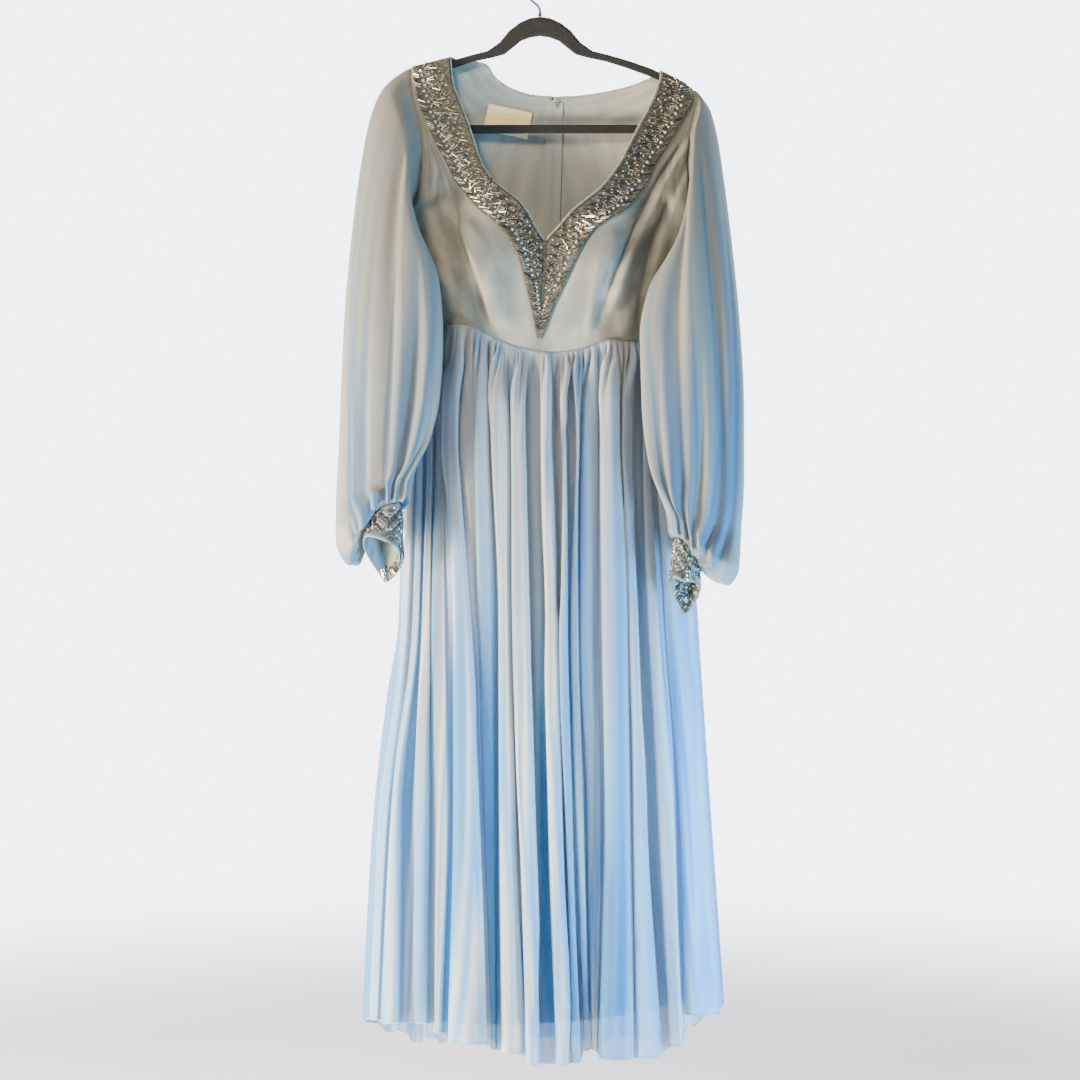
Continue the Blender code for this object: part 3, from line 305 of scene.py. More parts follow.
def wovenCloth(name, shades, streak, thread=1.6, rough=0.6, sheen=0.1, glow=0.0, sheer=0.0, relief=0.1,
               paintedSeamShade=None):
    # shades are hexes that follow each other across streaks of this width and length; thread is the weave's
    # spacing and relief its height, glow the share of light let through and sheer the share seen through
    made, nodes = newMaterial(name)
    uv = addNode(nodes, "ShaderNodeTexCoord").outputs["UV"]
    # slubs: long soft streaks down the cloth, as yarns of uneven thickness give; where the shades run from cream
    # to deep blue, as in the chiffon, the streaks are also painted highlight and painted shade
    long = addNode(nodes, "ShaderNodeMapping", Vector=uv, Scale=(1000 / streak[0], 1000 / streak[1], 1))
    slubAndPaintedLight = addNode(nodes, "ShaderNodeTexNoise", Vector=long, Scale=1.0, Detail=3.0, Roughness=0.42)
    stops = [(mix(weave["shadesFrom"], weave["shadesTo"], k / (len(shades) - 1)), colour(shade))
             for k, shade in enumerate(shades)]
    tint = addNode(nodes, "ShaderNodeValToRGB", stops=stops, _0=slubAndPaintedLight)
    if paintedSeamShade:
        # painted shade: greyer where it is gathered into its upper seam; the painted colour there, its share, and
        # how far down it runs out
        shade, most, reach = paintedSeamShade
        down = addNode(nodes, "ShaderNodeSeparateXYZ", Vector=uv).outputs["Y"]
        share = addNode(nodes, "ShaderNodeMapRange", {"interpolation_type": "SMOOTHSTEP"}, Value=down,
                        _1=-reach * millimetre, _2=0.0, _3=0.0, _4=most)
        tint = addNode(nodes, "ShaderNodeMix", {"data_type": "RGBA"}, _0=share, _6=tint,
                       _7=colour(shade)).outputs[2]
    # plain weave: two sets of threads at right angles, one wave to a thread that goes over and one that goes under
    fine = 1000 / thread / weave["waveRate"] * math.pi
    warp, weft = (addNode(nodes, "ShaderNodeTexWave", {"bands_direction": axis}, Vector=uv, Scale=fine,
                          Distortion=weave["uneven"], Detail=1.0).outputs["Fac"] for axis in "XY")
    crossed = addNode(nodes, "ShaderNodeMath", {"operation": "MULTIPLY"}, _0=warp, _1=weft)
    bump = addNode(nodes, "ShaderNodeBump", Height=crossed, Strength=0.5, Distance=relief * millimetre)
    result = addNode(nodes, "ShaderNodeBsdfPrincipled", Base_Color=tint, Roughness=rough, Normal=bump,
                     Sheen_Weight=sheen, Sheen_Roughness=0.4, IOR=1.45, Specular_IOR_Level=0.25)
    if glow:
        lit = addNode(nodes, "ShaderNodeBsdfTranslucent", Color=tint, Normal=bump)
        result = addNode(nodes, "ShaderNodeMixShader", Fac=glow, _1=result, _2=lit)
    if sheer:
        clear = addNode(nodes, "ShaderNodeBsdfTransparent")
        result = addNode(nodes, "ShaderNodeMixShader", Fac=sheer, _1=result, _2=clear)
    addNode(nodes, "ShaderNodeOutputMaterial", Surface=result)
    return made


def metal(name, code, rough, grain=0.05, metallic=1.0):
    # grain is how far the roughness strays from place to place
    made, nodes = newMaterial(name)
    place = addNode(nodes, "ShaderNodeTexCoord").outputs["Object"]
    cloud = addNode(nodes, "ShaderNodeTexNoise", Vector=place, Scale=900.0, Detail=3.0)
    base = colour(code)
    dark = tuple(c * 0.7 for c in base[:3]) + (1,)
    tint = addNode(nodes, "ShaderNodeValToRGB", stops=[(0.3, dark), (0.7, base)], _0=cloud)
    finish = addNode(nodes, "ShaderNodeMapRange", Value=cloud, _3=rough - grain, _4=rough + grain)
    shader = addNode(nodes, "ShaderNodeBsdfPrincipled", Base_Color=tint, Metallic=metallic, Roughness=finish)
    addNode(nodes, "ShaderNodeOutputMaterial", Surface=shader)
    return made


print("making the materials")
# Polyester chiffon: sheer crepe-twist plain weave, matt, lets the lining and the light through.
# Threads are 0.2 mm apart in the real one, drawn at 1.6 mm so that they show.
# its streaks of cream and deep blue are painted highlight and painted shade of the folds, laid at random, and it
# is painted greyer towards the waist seam
chiffon = wovenCloth("polyester chiffon",
                     ("3d82b8", "5ca5d8", "8aaecb", "9ba8b5", "d4d7d1", "66aee4", "b5c8d5", "4a94cd"), (60, 1600),
                     rough=0.62, glow=0.16, sheer=0.48, relief=0.12, paintedSeamShade=("a0a4a4", 0.62, 620))
# painted shade: greyer and warmer towards the shoulder seam, where the head's gathers crowd
sleeveChiffon = wovenCloth("sleeve chiffon", ("506a84", "68798a", "82898b", "507394", "8d9292"), (55, 900),
                           rough=0.62, glow=0.16, sheer=0.22, relief=0.12, paintedSeamShade=("7b7c70", 0.85, 480))
# Underlined crepe of the bodice: the same chiffon mounted on a cloth, so nothing shows through.
crepe = wovenCloth("chiffon mounted on crepe", ("686c67", "777a72", "8a8a82"), (18, 60), glow=0.04, relief=0.12)
innerCrepe = wovenCloth("crepe inside of the back", ("828c88", "8e958f", "989e96"), (20, 80), rough=0.62,
                        glow=0.04)
# Acetate taffeta lining: close plain weave with a soft sheen.
taffeta = wovenCloth("acetate taffeta", ("5a84b8", "6a94c6", "7aa2cf"), (30, 200), thread=1.2, rough=0.42,
                     glow=0.06, relief=0.08)


# Bodice

bodice = {
    # neck or centre x z y, band's edge x z y, side x z y, and how far the way to the side is rounded
    "frontLeft": [
        (-120, -113.9, -0.4, -169, -126.5, -0.4, -174, -129, -0.4, 0),
        (-119.8, -115.4, -4.3, -168.7, -128, -4.3, -174, -130.5, -4.3, 0),
        (-119.3, -122, -6.8, -168.3, -134, -6.8, -173.5, -136, -6.8, 0),
        (-116.5, -149, -12, -165, -156, -11, -170, -164, -9.5, 0),
        (-107, -174, -17, -157, -184, -15, -163.5, -194, -11, 0),
        (-97, -200, -22, -148, -207, -18, -158, -224, -11, 0),
        (-88, -228, -28, -137, -231, -22, -157, -253, -10, 0.1),
        (-80, -251, -33, -124, -255, -27, -160, -282, -10, 0.3),
        (-68, -272, -38, -113, -277, -32, -171, -310, -8.5, 0.6),
        (-48, -290, -43, -98, -296, -38, -182, -333, -0.45, 1),
        (-29, -305, -46, -82, -315, -44, -187, -357, -0.45, 1),
        (-18, -319, -48, -62, -333, -49, -187, -380, -0.45, 1),
        (-8, -339, -49, -45, -353, -52, -187, -402, -0.45, 1),
        (6, -366, -50, -31, -377, -54, -187, -422, -0.45, 1),
    ],
    "frontRight": [
        (162, -132.6, -0.4, 188, -146, -0.4, 203, -156.5, -0.4, 0),
        (161.8, -134.1, -4.3, 191, -149, -4.3, 204, -158.5, -4.3, 0),
        (161.3, -140, -6.8, 197, -158, -6.8, 206, -165, -6.8, 0),
        (157, -155, -11, 200.5, -171, -9.5, 207, -180, -9, 0),
        (145, -183, -16, 194, -186, -14, 203, -204, -11, 0),
        (131.5, -207, -22, 182, -207, -18, 197, -231, -11, 0),
        (121, -228, -28, 169, -231, -22, 195, -258, -10, 0.1),
        (111, -248, -33, 152, -258, -27, 196, -284, -10, 0.3),
        (98, -268, -38, 145, -276, -32, 201, -310, -8.5, 0.6),
        (81, -288, -43, 131, -296, -38, 205, -333, -0.45, 1),
        (60, -305, -46, 114, -316, -44, 206, -357, -0.45, 1),
        (43, -319, -48, 91, -330, -49, 204, -382, -0.45, 1),
        (26, -339, -49, 73, -343, -52, 202, -405, -0.45, 1),
        (6, -366, -50, 55, -370, -54, 200, -427, -0.45, 1),
    ],
    # share of the way to the waist seam, centre and band edges, depths and side edges
    "lower": [
        (0.27, 4.5, -51, -21, 38, -54, -186.5, 198),
        (0.5, 2.5, -50, -14, 22, -52, -186, 196.5),
        (0.73, 0, -48.5, -7, 9, -49.5, -185.5, 195),
        (0.87, -1, -47.5, -4, 2, -47.5, -185, 194.5),
    ],
    # neck x z y, side x z y, round
    "backLeft": [
        (-120, -113.9, 0.4, -174, -129, 0.4, 0),
        (-118, -115.4, 4.3, -174, -130.5, 4.3, 0),
        (-113, -118, 6.8, -173.5, -136, 6.8, 0),
        (-74, -124, 9, -170, -164, 9.5, 0),
        (-60, -142, 10.5, -163.5, -194, 11, 0),
        (-38, -157, 12, -158, -224, 11, 0),
        (-8, -166, 13, -157, -253, 10, 0.1),
        (20, -169, 13.5, -160, -282, 10, 0.3),
        (19, -200, 14.5, -171, -310, 8.5, 0.6),
        (18, -250, 16, -182, -333, 0.45, 1),
        (16, -320, 17.5, -187, -380, 0.45, 1),
        (14, -400, 18, -187, -440, 0.45, 1),
    ],
    "backRight": [
        (162, -132.6, 0.4, 203, -156.5, 0.4, 0),
        (160.5, -134.1, 4.3, 204, -158.5, 4.3, 0),
        (157, -138.5, 6.8, 206, -165, 6.8, 0),
        (138, -147, 9, 207, -180, 9, 0),
        (120, -154, 10.5, 203, -204, 11, 0),
        (86, -162, 12, 197, -231, 11, 0),
        (50, -167, 13, 195, -258, 10, 0.1),
        (20, -169, 13.5, 196, -284, 10, 0.3),
        (19, -200, 14.5, 201, -310, 8.5, 0.6),
        (18, -250, 16, 205, -333, 0.45, 1),
        (16, -320, 17.5, 204, -382, 0.45, 1),
        (14, -400, 18, 198, -446, 0.45, 1),
    ],
    "bandCuts": 3, "sideCuts": 8, "backCuts": 7, "neckRow": 7, "pointRow": 13, "armholeRows": 10,
    "frontGrid": (130, 120), "backGrid": (90, 70), "zipHalf": 1.0, "splitHalf": 0.35,
    "sideHalf": 0.3, "edgeHalf": 0.45, "wall": 0.5,
    # hills of the bust as x, and their height, half width, z and half height
    "bust": ((-72, 84), 9, 40, -384, 50),
}
waist = {
    "x": (-185, -133, -105, -68, -30, 20, 55, 95, 140, 194),
    "z": (-478, -471, -468, -484, -499, -507, -502, -490, -491, -490),
    "front": 47, "back": 18, "backZ": -484,
    # how far from the side the back's seam takes to come to its own height
    "backTurn": 60,
}
# how far from the side seam the cloth needs to come round to its full depth, plainly or pressed under a sleeve
sideTurn = {"plain": 170, "seam": 14, "pressed": 30, "released": 75}


def sideDepth(distance, full, hollow, near=11):
    # how far the cloth stands off its side seam, hollow where a sleeve lies
    plain = full * rounded(distance / sideTurn["plain"])
    free = ease((distance - sideTurn["pressed"]) / sideTurn["released"])
    pressed = near * rounded(distance / sideTurn["seam"]) + (full - near) * free
    return mix(plain, pressed, hollow)


def seamPlace(x, isFront):
    # the waist seam as (x, z, y)
    x = np.asarray(x, float)
    side = np.minimum(x - waist["x"][0], waist["x"][-1] - x)
    z = through(waist["x"], waist["z"], x)
    half = bodice["sideHalf"]
    if isFront:
        return np.stack([x, z, -half - sideDepth(side, waist["front"] - half, 1)], -1)
    z = mix(z, waist["backZ"], ease(side / waist["backTurn"]))
    return np.stack([x, z, half + sideDepth(side, waist["back"], 0)], -1)


def centreBack(z):
    return through((-1440, -484, -400, -320, -250, -200, -169), (6, 12.5, 14, 16, 18, 19, 20), z)


def turnedTo(start, end, cuts):
    # places that crowd towards the end, where the cloth turns into its seam
    return mix(end, start, 1 - np.sin(np.linspace(0, np.pi / 2, cuts + 1)))


def sidePlaces(band, side, roundness, cuts, hollow):
    # from the band's edge to the side: straight across, or turning into the seam
    share = np.linspace(0, 1, cuts + 1)
    x = mix(mix(band[0], side[0], share), turnedTo(band[0], side[0], cuts), roundness)
    half = bodice["edgeHalf"]
    full = abs(band[2]) - half
    whole = sideDepth(np.abs(side[0] - band[0]), full, hollow)
    curved = half + sideDepth(np.abs(side[0] - x), full, hollow) * full / max(float(whole), 1)
    y = mix(mix(band[2], side[2], share), curved * np.sign(band[2]), roundness)
    y[-1] = side[2]
    across = (x - band[0]) / (side[0] - band[0])
    return np.stack([x, mix(band[1], side[1], across), y], -1)


def bust(x, z):
    # each cup is a soft round hill
    middles, high, wide, centre, tall = bodice["bust"]
    return sum(high * np.exp(-(((x - middle) / wide) ** 2) - ((z - centre) / tall) ** 2) for middle in middles)


creases = {
    # the deep fold of the left front and the dart fold of the right front, as in the solids:
    # points down each as z and x, and its height; both run out at the top and the foot
    "fold": ((-290, -357, -423, -475), (-112, -105, -83, -64)), "foldHeight": 6,
    "dart": ((-290, -363, -423, -476), (141, 110, 91, 82)), "dartHeight": 5, "dartWidth": 8,
    "top": -280, "foot": -486,
}


def frontCreases(x, z):
    lower = np.minimum(ease((creases["top"] - z) / 40), ease((z - creases["foot"]) / 30))
    edge = through(*creases["fold"], z)
    left = creases["foldHeight"] * ease((edge + 9 - x) / 14) * ease((x + 150) / 40)
    dart = bell((x - through(*creases["dart"], z)) / creases["dartWidth"])
    return (left + creases["dartHeight"] * dart) * lower


def frontHalf(stations, right):
    # the control rows of one half of the front, each from the neck or centre to the armhole or side
    share = np.arange(bodice["bandCuts"])[:, None] / bodice["bandCuts"]
    cuts, rows = bodice["sideCuts"], []
    for at in np.array(stations, float):
        rows.append(np.concatenate([mix(at[0:3], at[3:6], share), sidePlaces(at[3:6], at[6:9], at[9], cuts, 1)]))
    above = rows[-1]
    for low in bodice["lower"]:
        bandX, sideX = low[3 + right], low[6 + right]
        inner = mix(np.array([low[1], 0, low[2]]), np.array([bandX, 0, low[5]]), share)
        outer = sidePlaces((bandX, 0, low[5]), (sideX, 0, -bodice["edgeHalf"]), 1, cuts, 1)
        row = np.concatenate([inner, outer])
        row[:, 1] = mix(above[:, 1], through(waist["x"], waist["z"], row[:, 0]), low[0])
        rows.append(row)
    # the last row lies on the waist seam; index 0 of its places is the left end and -1 the right one
    seam = np.concatenate([mix(low[1], bandX, share[:, 0]), turnedTo(bandX, waist["x"][-right], cuts)])
    rows = np.array(rows + [seamPlace(seam, True)])
    inside = rows[:-1, :-1]
    inside[..., 2] += frontCreases(inside[..., 0], inside[..., 1]) - bust(inside[..., 0], inside[..., 1])
    return rows


def backHalf(stations, right):
    # the control rows of one half of the back, each from the zip to the armhole or side
    sign = 1 if right else -1
    rows = []
    for k, at in enumerate(np.array(stations, float)):
        below = k - bodice["neckRow"]
        at[0] += sign * mix(bodice["splitHalf"], bodice["zipHalf"], ease(below)) * (below >= 0)
        rows.append(sidePlaces(at[:3], at[3:6], at[6], bodice["backCuts"], 0))
    start = centreBack(waist["backZ"]) + sign * bodice["zipHalf"]
    rows.append(seamPlace(turnedTo(start, waist["x"][-right], bodice["backCuts"]), False))
    return np.array(rows)


def foldLine(x, z, line, width, height, sharp=1.0):
    # one soft fold along a line of (z, x) points: a bell across it, fading at both ends
    zs, xs = zip(*line)
    across = (x - through(zs, xs, z)) / width
    ends = ease((max(zs) - z) / 18) * ease((z - min(zs)) / 18)
    return height * np.exp(-(across ** 2) * np.where(across > 0, sharp, 1 / sharp)) * ends


bodiceFolds = [
    # points down the fold as (z, x), width, height (a trough is negative), how much sharper its right side is
    (((-215, 203), (-286, 162), (-362, 126), (-407, 108), (-460, 90)), 9, 6.0, 0.22),
    (((-222, 193), (-286, 152), (-362, 117), (-407, 99), (-455, 83)), 3, -4.5, 1.0),
    (((-235, 205), (-300, 184), (-362, 160), (-434, 144), (-482, 138)), 8, 4.5, 0.25),
    (((-300, 172), (-362, 148), (-434, 133), (-480, 128)), 4, -2.5, 1.0),
    (((-372, 80), (-400, 74), (-450, 66), (-490, 62)), 5, 3.0, 0.4),
    (((-385, 96), (-430, 84), (-478, 78)), 3.5, -2.0, 1.0),
    (((-292, -106), (-326, -104), (-359, -97), (-403, -82), (-444, -69), (-478, -60)), 9, 8.5, 0.14),
    (((-300, -112), (-340, -108), (-380, -97), (-430, -80), (-475, -68)), 3.5, -4.0, 1.0),
    (((-250, -150), (-330, -136), (-400, -128), (-470, -124)), 12, 2.5, 1.0),
    (((-420, -110), (-450, -104), (-480, -98)), 4, 1.8, 0.5),
    (((-395, -60), (-440, -48), (-495, -38)), 9, 1.4, 1.0),
]


def frontDetail(grid):
    x, z = grid[..., 0], grid[..., 1]
    height = sum(foldLine(x, z, *fold) for fold in bodiceFolds)
    height += 0.7 * drift(x / 16, z / 34, 3) + 0.35 * drift(x / 7, z / 15, 4)
    # flat under the band, at the side and at the waist
    down, across = shares(grid)
    return height * (ease(across * 5 - 1.2) * ease((1 - across) * 11)) * ease((1 - down) * 25)


def backDetail(grid, right):
    x, z = grid[..., 0], grid[..., 1]
    dart = 68 if right else -32
    height = 0.8 * drift(x / 18, z / 60, 11) + 1.6 * bell((x - dart) / 9) * ease((-220 - z) / 60)
    down, across = shares(grid)
    return height * (calm(across, 8, 6) * ease(down * 8 - 0.8) * ease((1 - down) * 12))


print("making the bodice")
sides = (("Left", 0), ("Right", 1))
frontControl = [frontHalf(bodice["front" + side], right) for side, right in sides]
frontGrids = [refine(control, *bodice["frontGrid"]) for control in frontControl]
pointPlace = (bodice["frontGrid"][0] - 1) * bodice["pointRow"] / (len(frontControl[0]) - 1)
joinMiddle(frontGrids, math.ceil(pointPlace))
frontReal = [raised(asReal(grid), frontDetail(grid), front) for grid in frontGrids]
bodiceFront = addCloth("bodiceFront", frontReal, crepe, "bodice_front", bodice["wall"])

backControl, backReal = [], []
for side, right in sides:
    backControl.append(backHalf(bodice["back" + side], right))
    grid = refine(backControl[-1], *bodice["backGrid"])
    backReal.append(raised(asReal(grid), backDetail(grid, right), rear))
    node = "bodice_back_" + side.lower()
    piece = addCloth("bodiceBack" + side, backReal[-1:], innerCrepe, node, bodice["wall"])


# Skirt

skirt = {
    # z, left and right edges, how far the cloth between folds stands forward and back
    "levels": [
        (-485, -185, 194, 47, 18), (-530, -184, 195, 49, 20), (-636, -183, 197, 54, 25),
        (-862, -188, 210, 64, 33), (-968, -204, 217, 68, 37), (-1128, -222, 228, 75, 42),
        (-1300, -232, 240, 83, 48), (-1440, -238, 249, 90, 54),
    ],
    "hemLeft": -1397, "hemRight": -1373, "gatherEnd": -575,
    # each raised fold: its left and right edges at the four levels, depth near the top and at the hem, hem height
    "foldLevels": (-636, -862, -1128, -1407),
    "frontFolds": [
        (-178, -168, -182, -175, -214, -202, -228, -216, 4, 8, -1399),
        (-163, -155, -170, -160, -198, -184, -210, -184, 8, 20, -1404),
        (-151, -142, -157, -146, -167, -150, -166, -149, 8, 16, -1404),
        (-138, -131, -143, -125, -144, -121, -142, -129, 3, 8, -1416),
        (-128, -108, -117, -93, -116, -79, -122, -70, 16, 36, -1431),
        (-85, -69, -81, -62, -74, -60, -66, -59, 9, 12, -1438),
        (-66, -43, -57, -41, -56, -35, -53, -22, 15, 26, -1443),
        (-39, -21, -37, -15, -31, -9, -18, 0, 20, 38, -1458),
        (4, 15, 7, 24, 12, 30, 22, 39, 16, 34, -1459),
        (27, 36, 27, 35, 33, 43, 42, 54, 24, 30, -1457),
        (47, 53, 43, 51, 48, 59, 58, 66, 20, 10, -1440),
        (56, 78, 54, 79, 65, 82, 69, 76, 7, 8, -1438),
        (81, 106, 82, 118, 86, 122, 79, 126, 17, 36, -1452),
        (109, 124, 121, 131, 125, 141, 129, 160, 14, 34, -1449),
        (137, 146, 143, 157, 157, 178, 172, 191, 14, 32, -1436),
        (154, 184, 166, 202, 186, 220, 196, 242, 8, 12, -1392),
    ],
    "wideFold": ((0.12, 0.0), (0.0, 0.55), (0.2, 1.0), (0.8, 1.0), (1.0, 0.55), (0.88, 0.0)),
    "narrowFold": ((0.0, 0.0), (0.1, 1.0), (0.9, 1.0), (1.0, 0.0)),
    # a fold from this width on is wide; at the hem, how far its edges and the cloth beside it hang higher
    "wideFrom": 10, "edgeRise": 7, "recessRise": 7,
    # at the seam, columns averaged to each side and how far they are spread evenly
    "topBeside": 3, "topEven": 0.35,
    # middle and half width as shares of the half back, depth at the hem
    "backLeft": ((0.85, 0.045, 12), (0.68, 0.05, 18), (0.51, 0.06, 13), (0.33, 0.055, 20), (0.17, 0.05, 14)),
    "backRight": ((0.84, 0.05, 15), (0.67, 0.055, 14), (0.49, 0.055, 21), (0.31, 0.06, 12), (0.15, 0.045, 16)),
    "backHem": -1418, "zipEnd": -655,
    # how deep the back's folds are under the gathers, and how far below that they reach their full depth
    "backShallow": 0.45, "backGrow": 800,
    # half the zip's opening, the same below its end, how long it takes to close, and columns that lie so far
    # from its edge
    "zipHalf": 1.5, "zipShut": 0.1, "zipClose": 40, "zipColumns": (15.5, 8, 0),
    "steps": (46, 67), "columns": 430, "backColumns": 130, "wall": 0.4, "foldDepth": 0.95,
    # close gathers under the seam and soft folds between the main ones: count, seed and depth
    "gathers": (44, 21, 10), "softFolds": ((29, 31, 0.9), (13, 41, 2.2)),
    # as shares of the skirt's height: where a gather has risen and is full, the shortest and by how much
    # others are longer
    "gatherRisen": 0.012, "gatherFull": 0.03, "gatherShort": 0.05, "gatherSpread": 0.055,
    # crisp creases: points down each as (z, x), width, height, how much sharper its right side is
    "creases": (
        (((-640, -8), (-900, 6), (-1200, 26), (-1440, 44)), 4, 3.0, 2.0),
        (((-1262, 113), (-1340, 98), (-1440, 82)), 5, 2.6, 1.5),
        (((-600, -96), (-900, -88), (-1250, -98), (-1425, -104)), 5, 2.6, 1.8),
        (((-560, -46), (-800, -40), (-1100, -38), (-1400, -30)), 4, 2.2, 2.0),
        (((-620, 62), (-850, 66), (-1150, 72), (-1430, 74)), 4, 2.4, 2.0),
        (((-700, 118), (-950, 128), (-1200, 150), (-1420, 170)), 5, 3.0, 1.8),
        (((-800, -170), (-1050, -188), (-1390, -206)), 5, 2.4, 1.8),
        (((-520, -120), (-760, -134), (-1100, -152), (-1395, -160)), 6, 3.6, 2.4),
        (((-500, 10), (-700, 5), (-980, -1), (-1250, -5), (-1440, -11)), 6, 3.8, 2.4),
        (((-505, 92), (-760, 99), (-1050, 104), (-1440, 108)), 6, 3.6, 2.2),
        (((-540, 150), (-800, 172), (-1100, 192), (-1400, 206)), 6, 3.4, 2.2),
        (((-590, 34), (-700, 30), (-860, 24)), 4, -2.4, 1.0),
        (((-900, -20), (-1150, -26), (-1430, -6)), 5, -3.0, 1.0),
    ),
}
levelTable = np.array(skirt["levels"], float)


def level(z, column):
    return through(levelTable[:, 0], levelTable[:, column], z)


def skirtHollow(z, isFront):
    # the front lies flatter where the sleeves hang over it
    return ease((z + 900) / 300) if isFront else 0


def baseDepth(x, z, isFront):
    # where the cloth between the folds lies
    side = np.minimum(x - level(z, 1), level(z, 2) - x)
    half = bodice["sideHalf"]
    return half + sideDepth(side, level(z, 3 if isFront else 4) - half, skirtHollow(z, isFront))


def foldEdges(fold, z):
    return through(skirt["foldLevels"], fold[0:8:2], z), through(skirt["foldLevels"], fold[1:8:2], z)


def frontColumnList():
    # (left fold, right fold, place, depth share) for each control column, the sides marked by None
    folds = skirt["frontFolds"]
    columns = [(None, "left", 0, 0)]
    for k, fold in enumerate(folds):
        shape = skirt["wideFold"] if fold[1] - fold[0] > skirt["wideFrom"] else skirt["narrowFold"]
        columns += [(fold, fold, place, share) for place, share in shape]
        if k + 1 < len(folds):
            columns.append((fold, folds[k + 1], None, 0))
    return columns + [(None, "right", 0, 0)]


def columnAt(column, z):
    # x in the front view, depth in front of the base, and the hem's height
    first, second, place, share = column
    if first is None:
        return level(z, 1 if second == "left" else 2), 0 * z, skirt["hemLeft" if second == "left" else "hemRight"]
    if place is None:
        x = (foldEdges(first, z)[1] + foldEdges(second, z)[0]) / 2
        return x, 0 * z, (first[10] + second[10]) / 2 + skirt["recessRise"]
    left, right = foldEdges(first, z)
    deep = through((skirt["foldLevels"][0], skirt["foldLevels"][-1]), (first[8], first[9]), z) * skirt["foldDepth"]
    return mix(left, right, place), deep * share, first[10] + skirt["edgeRise"] * (2 * place - 1) ** 2


def skirtFrontControl(steps):
    columns = frontColumnList()
    own = np.array([columnAt(c, np.array([skirt["gatherEnd"]]))[0][0] for c in columns])
    # at the seam the columns are pushed together more evenly than the folds below
    beside = skirt["topBeside"]
    tops = np.array([own[max(k - beside, 0):k + beside + 1].mean() for k in range(len(own))])
    tops = mix(tops, np.linspace(waist["x"][0], waist["x"][-1], len(own)), skirt["topEven"])
    tops[0], tops[-1] = waist["x"][0], waist["x"][-1]
    seam = seamPlace(tops, True)
    grid = []
    for column, top in zip(columns, seam):
        hem = columnAt(column, np.array([skirt["foldLevels"][-1]]))[2]
        z = mix(top[1], hem, steps)
        fallen = ease((top[1] - z) / (top[1] - skirt["gatherEnd"]))
        x, deep, _ = columnAt(column, z)
        x = mix(top[0], x, fallen)
        y = -mix(-top[2], baseDepth(x, z, True), fallen) - deep * fallen
        grid.append(np.stack([x, z, 0 * z - bodice["sideHalf"] if column[0] is None else y], -1))
    return np.swapaxes(np.array(grid), 0, 1)


def skirtBackControl(steps, side, right):
    sign = 1 if right else -1
    # share of the way from the side to the zip, and how far the cloth stands out there
    stations = [(0.0, 0.0), (0.035, 0.0)]
    for middle, half, deep in skirt["back" + side]:
        outer, inner = 1 - middle - half, 1 - middle + half
        stations += [(outer, 0.0), (mix(outer, inner, 0.2), deep), (mix(outer, inner, 0.8), deep), (inner, 0.0)]
    apart, gaps = skirt["zipHalf"], skirt["zipColumns"]
    end = centreBack(waist["backZ"]) + sign * (apart + gaps[0])
    grid = []
    for k, (share, deep) in enumerate(stations):
        top = seamPlace(mix(waist["x"][-right], end, k / len(stations)), False)
        hem = mix(skirt["hemRight" if right else "hemLeft"], skirt["backHem"], ease(share * 2.5)) - 0.5 * deep
        z = mix(top[1], hem, steps)
        fallen = ease((top[1] - z) / (top[1] - skirt["gatherEnd"]))
        x = mix(top[0], mix(level(z, 1 + right), centreBack(z) + sign * (apart + gaps[0]), share), fallen)
        grown = mix(skirt["backShallow"], 1, ease((skirt["gatherEnd"] - z) / skirt["backGrow"]))
        lowered = deep * grown * fallen
        y = mix(top[2], baseDepth(x, z, False), fallen) + lowered
        grid.append(np.stack([x, z, 0 * z + bodice["sideHalf"] if k == 0 else y], -1))
    for gap in gaps:
        # the zip's edge closes below its end
        top = seamPlace(centreBack(waist["backZ"]) + sign * (apart + gap), False)
        z = mix(top[1], skirt["backHem"], steps)
        half = mix(apart, skirt["zipShut"], ease((skirt["zipEnd"] - z) / skirt["zipClose"]))
        x = centreBack(z) + sign * (half + gap)
        grid.append(np.stack([x, z, mix(top[2], baseDepth(x, z, False), ease((top[1] - z) / 60))], -1))
    return np.swapaxes(np.array(grid), 0, 1)


def averaged(grid, axis, count):
    # one coordinate of a grid, each place averaged with its neighbours in the row by a soft bell
    bellShares = np.hanning(count + 2)[1:-1] / np.hanning(count + 2).sum()
    edge, wide = count // 2, grid.shape[1]
    return sum(bellShares[k] * grid[:, k:k + wide - 2 * edge, axis] for k in range(count))


def gatherHeight(across, down, count, seed, deep):
    # close gathers under the seam: each has its own width, depth and length, and all run out below
    place = across * count + 0.55 * wander(across * count, seed, 1.7)
    own = 0.55 + 0.45 * wander(place, seed + 1, 1.0)
    length = skirt["gatherShort"] + skirt["gatherSpread"] * (1 + wander(place, seed + 2, 1.3))
    rise = ease(down / skirt["gatherRisen"]) * (0.3 + 0.7 * ease(down / skirt["gatherFull"]))
    return deep * own * gathers(place) * rise * (1 - ease((down - skirt["gatherRisen"]) / length))


def softFolds(across, down, count, seed, deep):
    # long low folds between the main ones, which start and end at uneven heights
    place = across * count + 0.5 * wander(across * count, seed, 2.3)
    place = place + 0.35 * drift(across * 14, down * 2.2, seed + 1)
    strength = 0.5 + 0.5 * drift(across * count / 2, down * 2.6, seed + 2)
    return deep * strength * np.cos(2 * np.pi * place) * ease((down - 0.03) / 0.15)


print("making the skirt")
rowSteps = paced((0, 0.16, 1), skirt["steps"])
frontSkirt = refine(skirtFrontControl(rowSteps), columns=skirt["columns"])
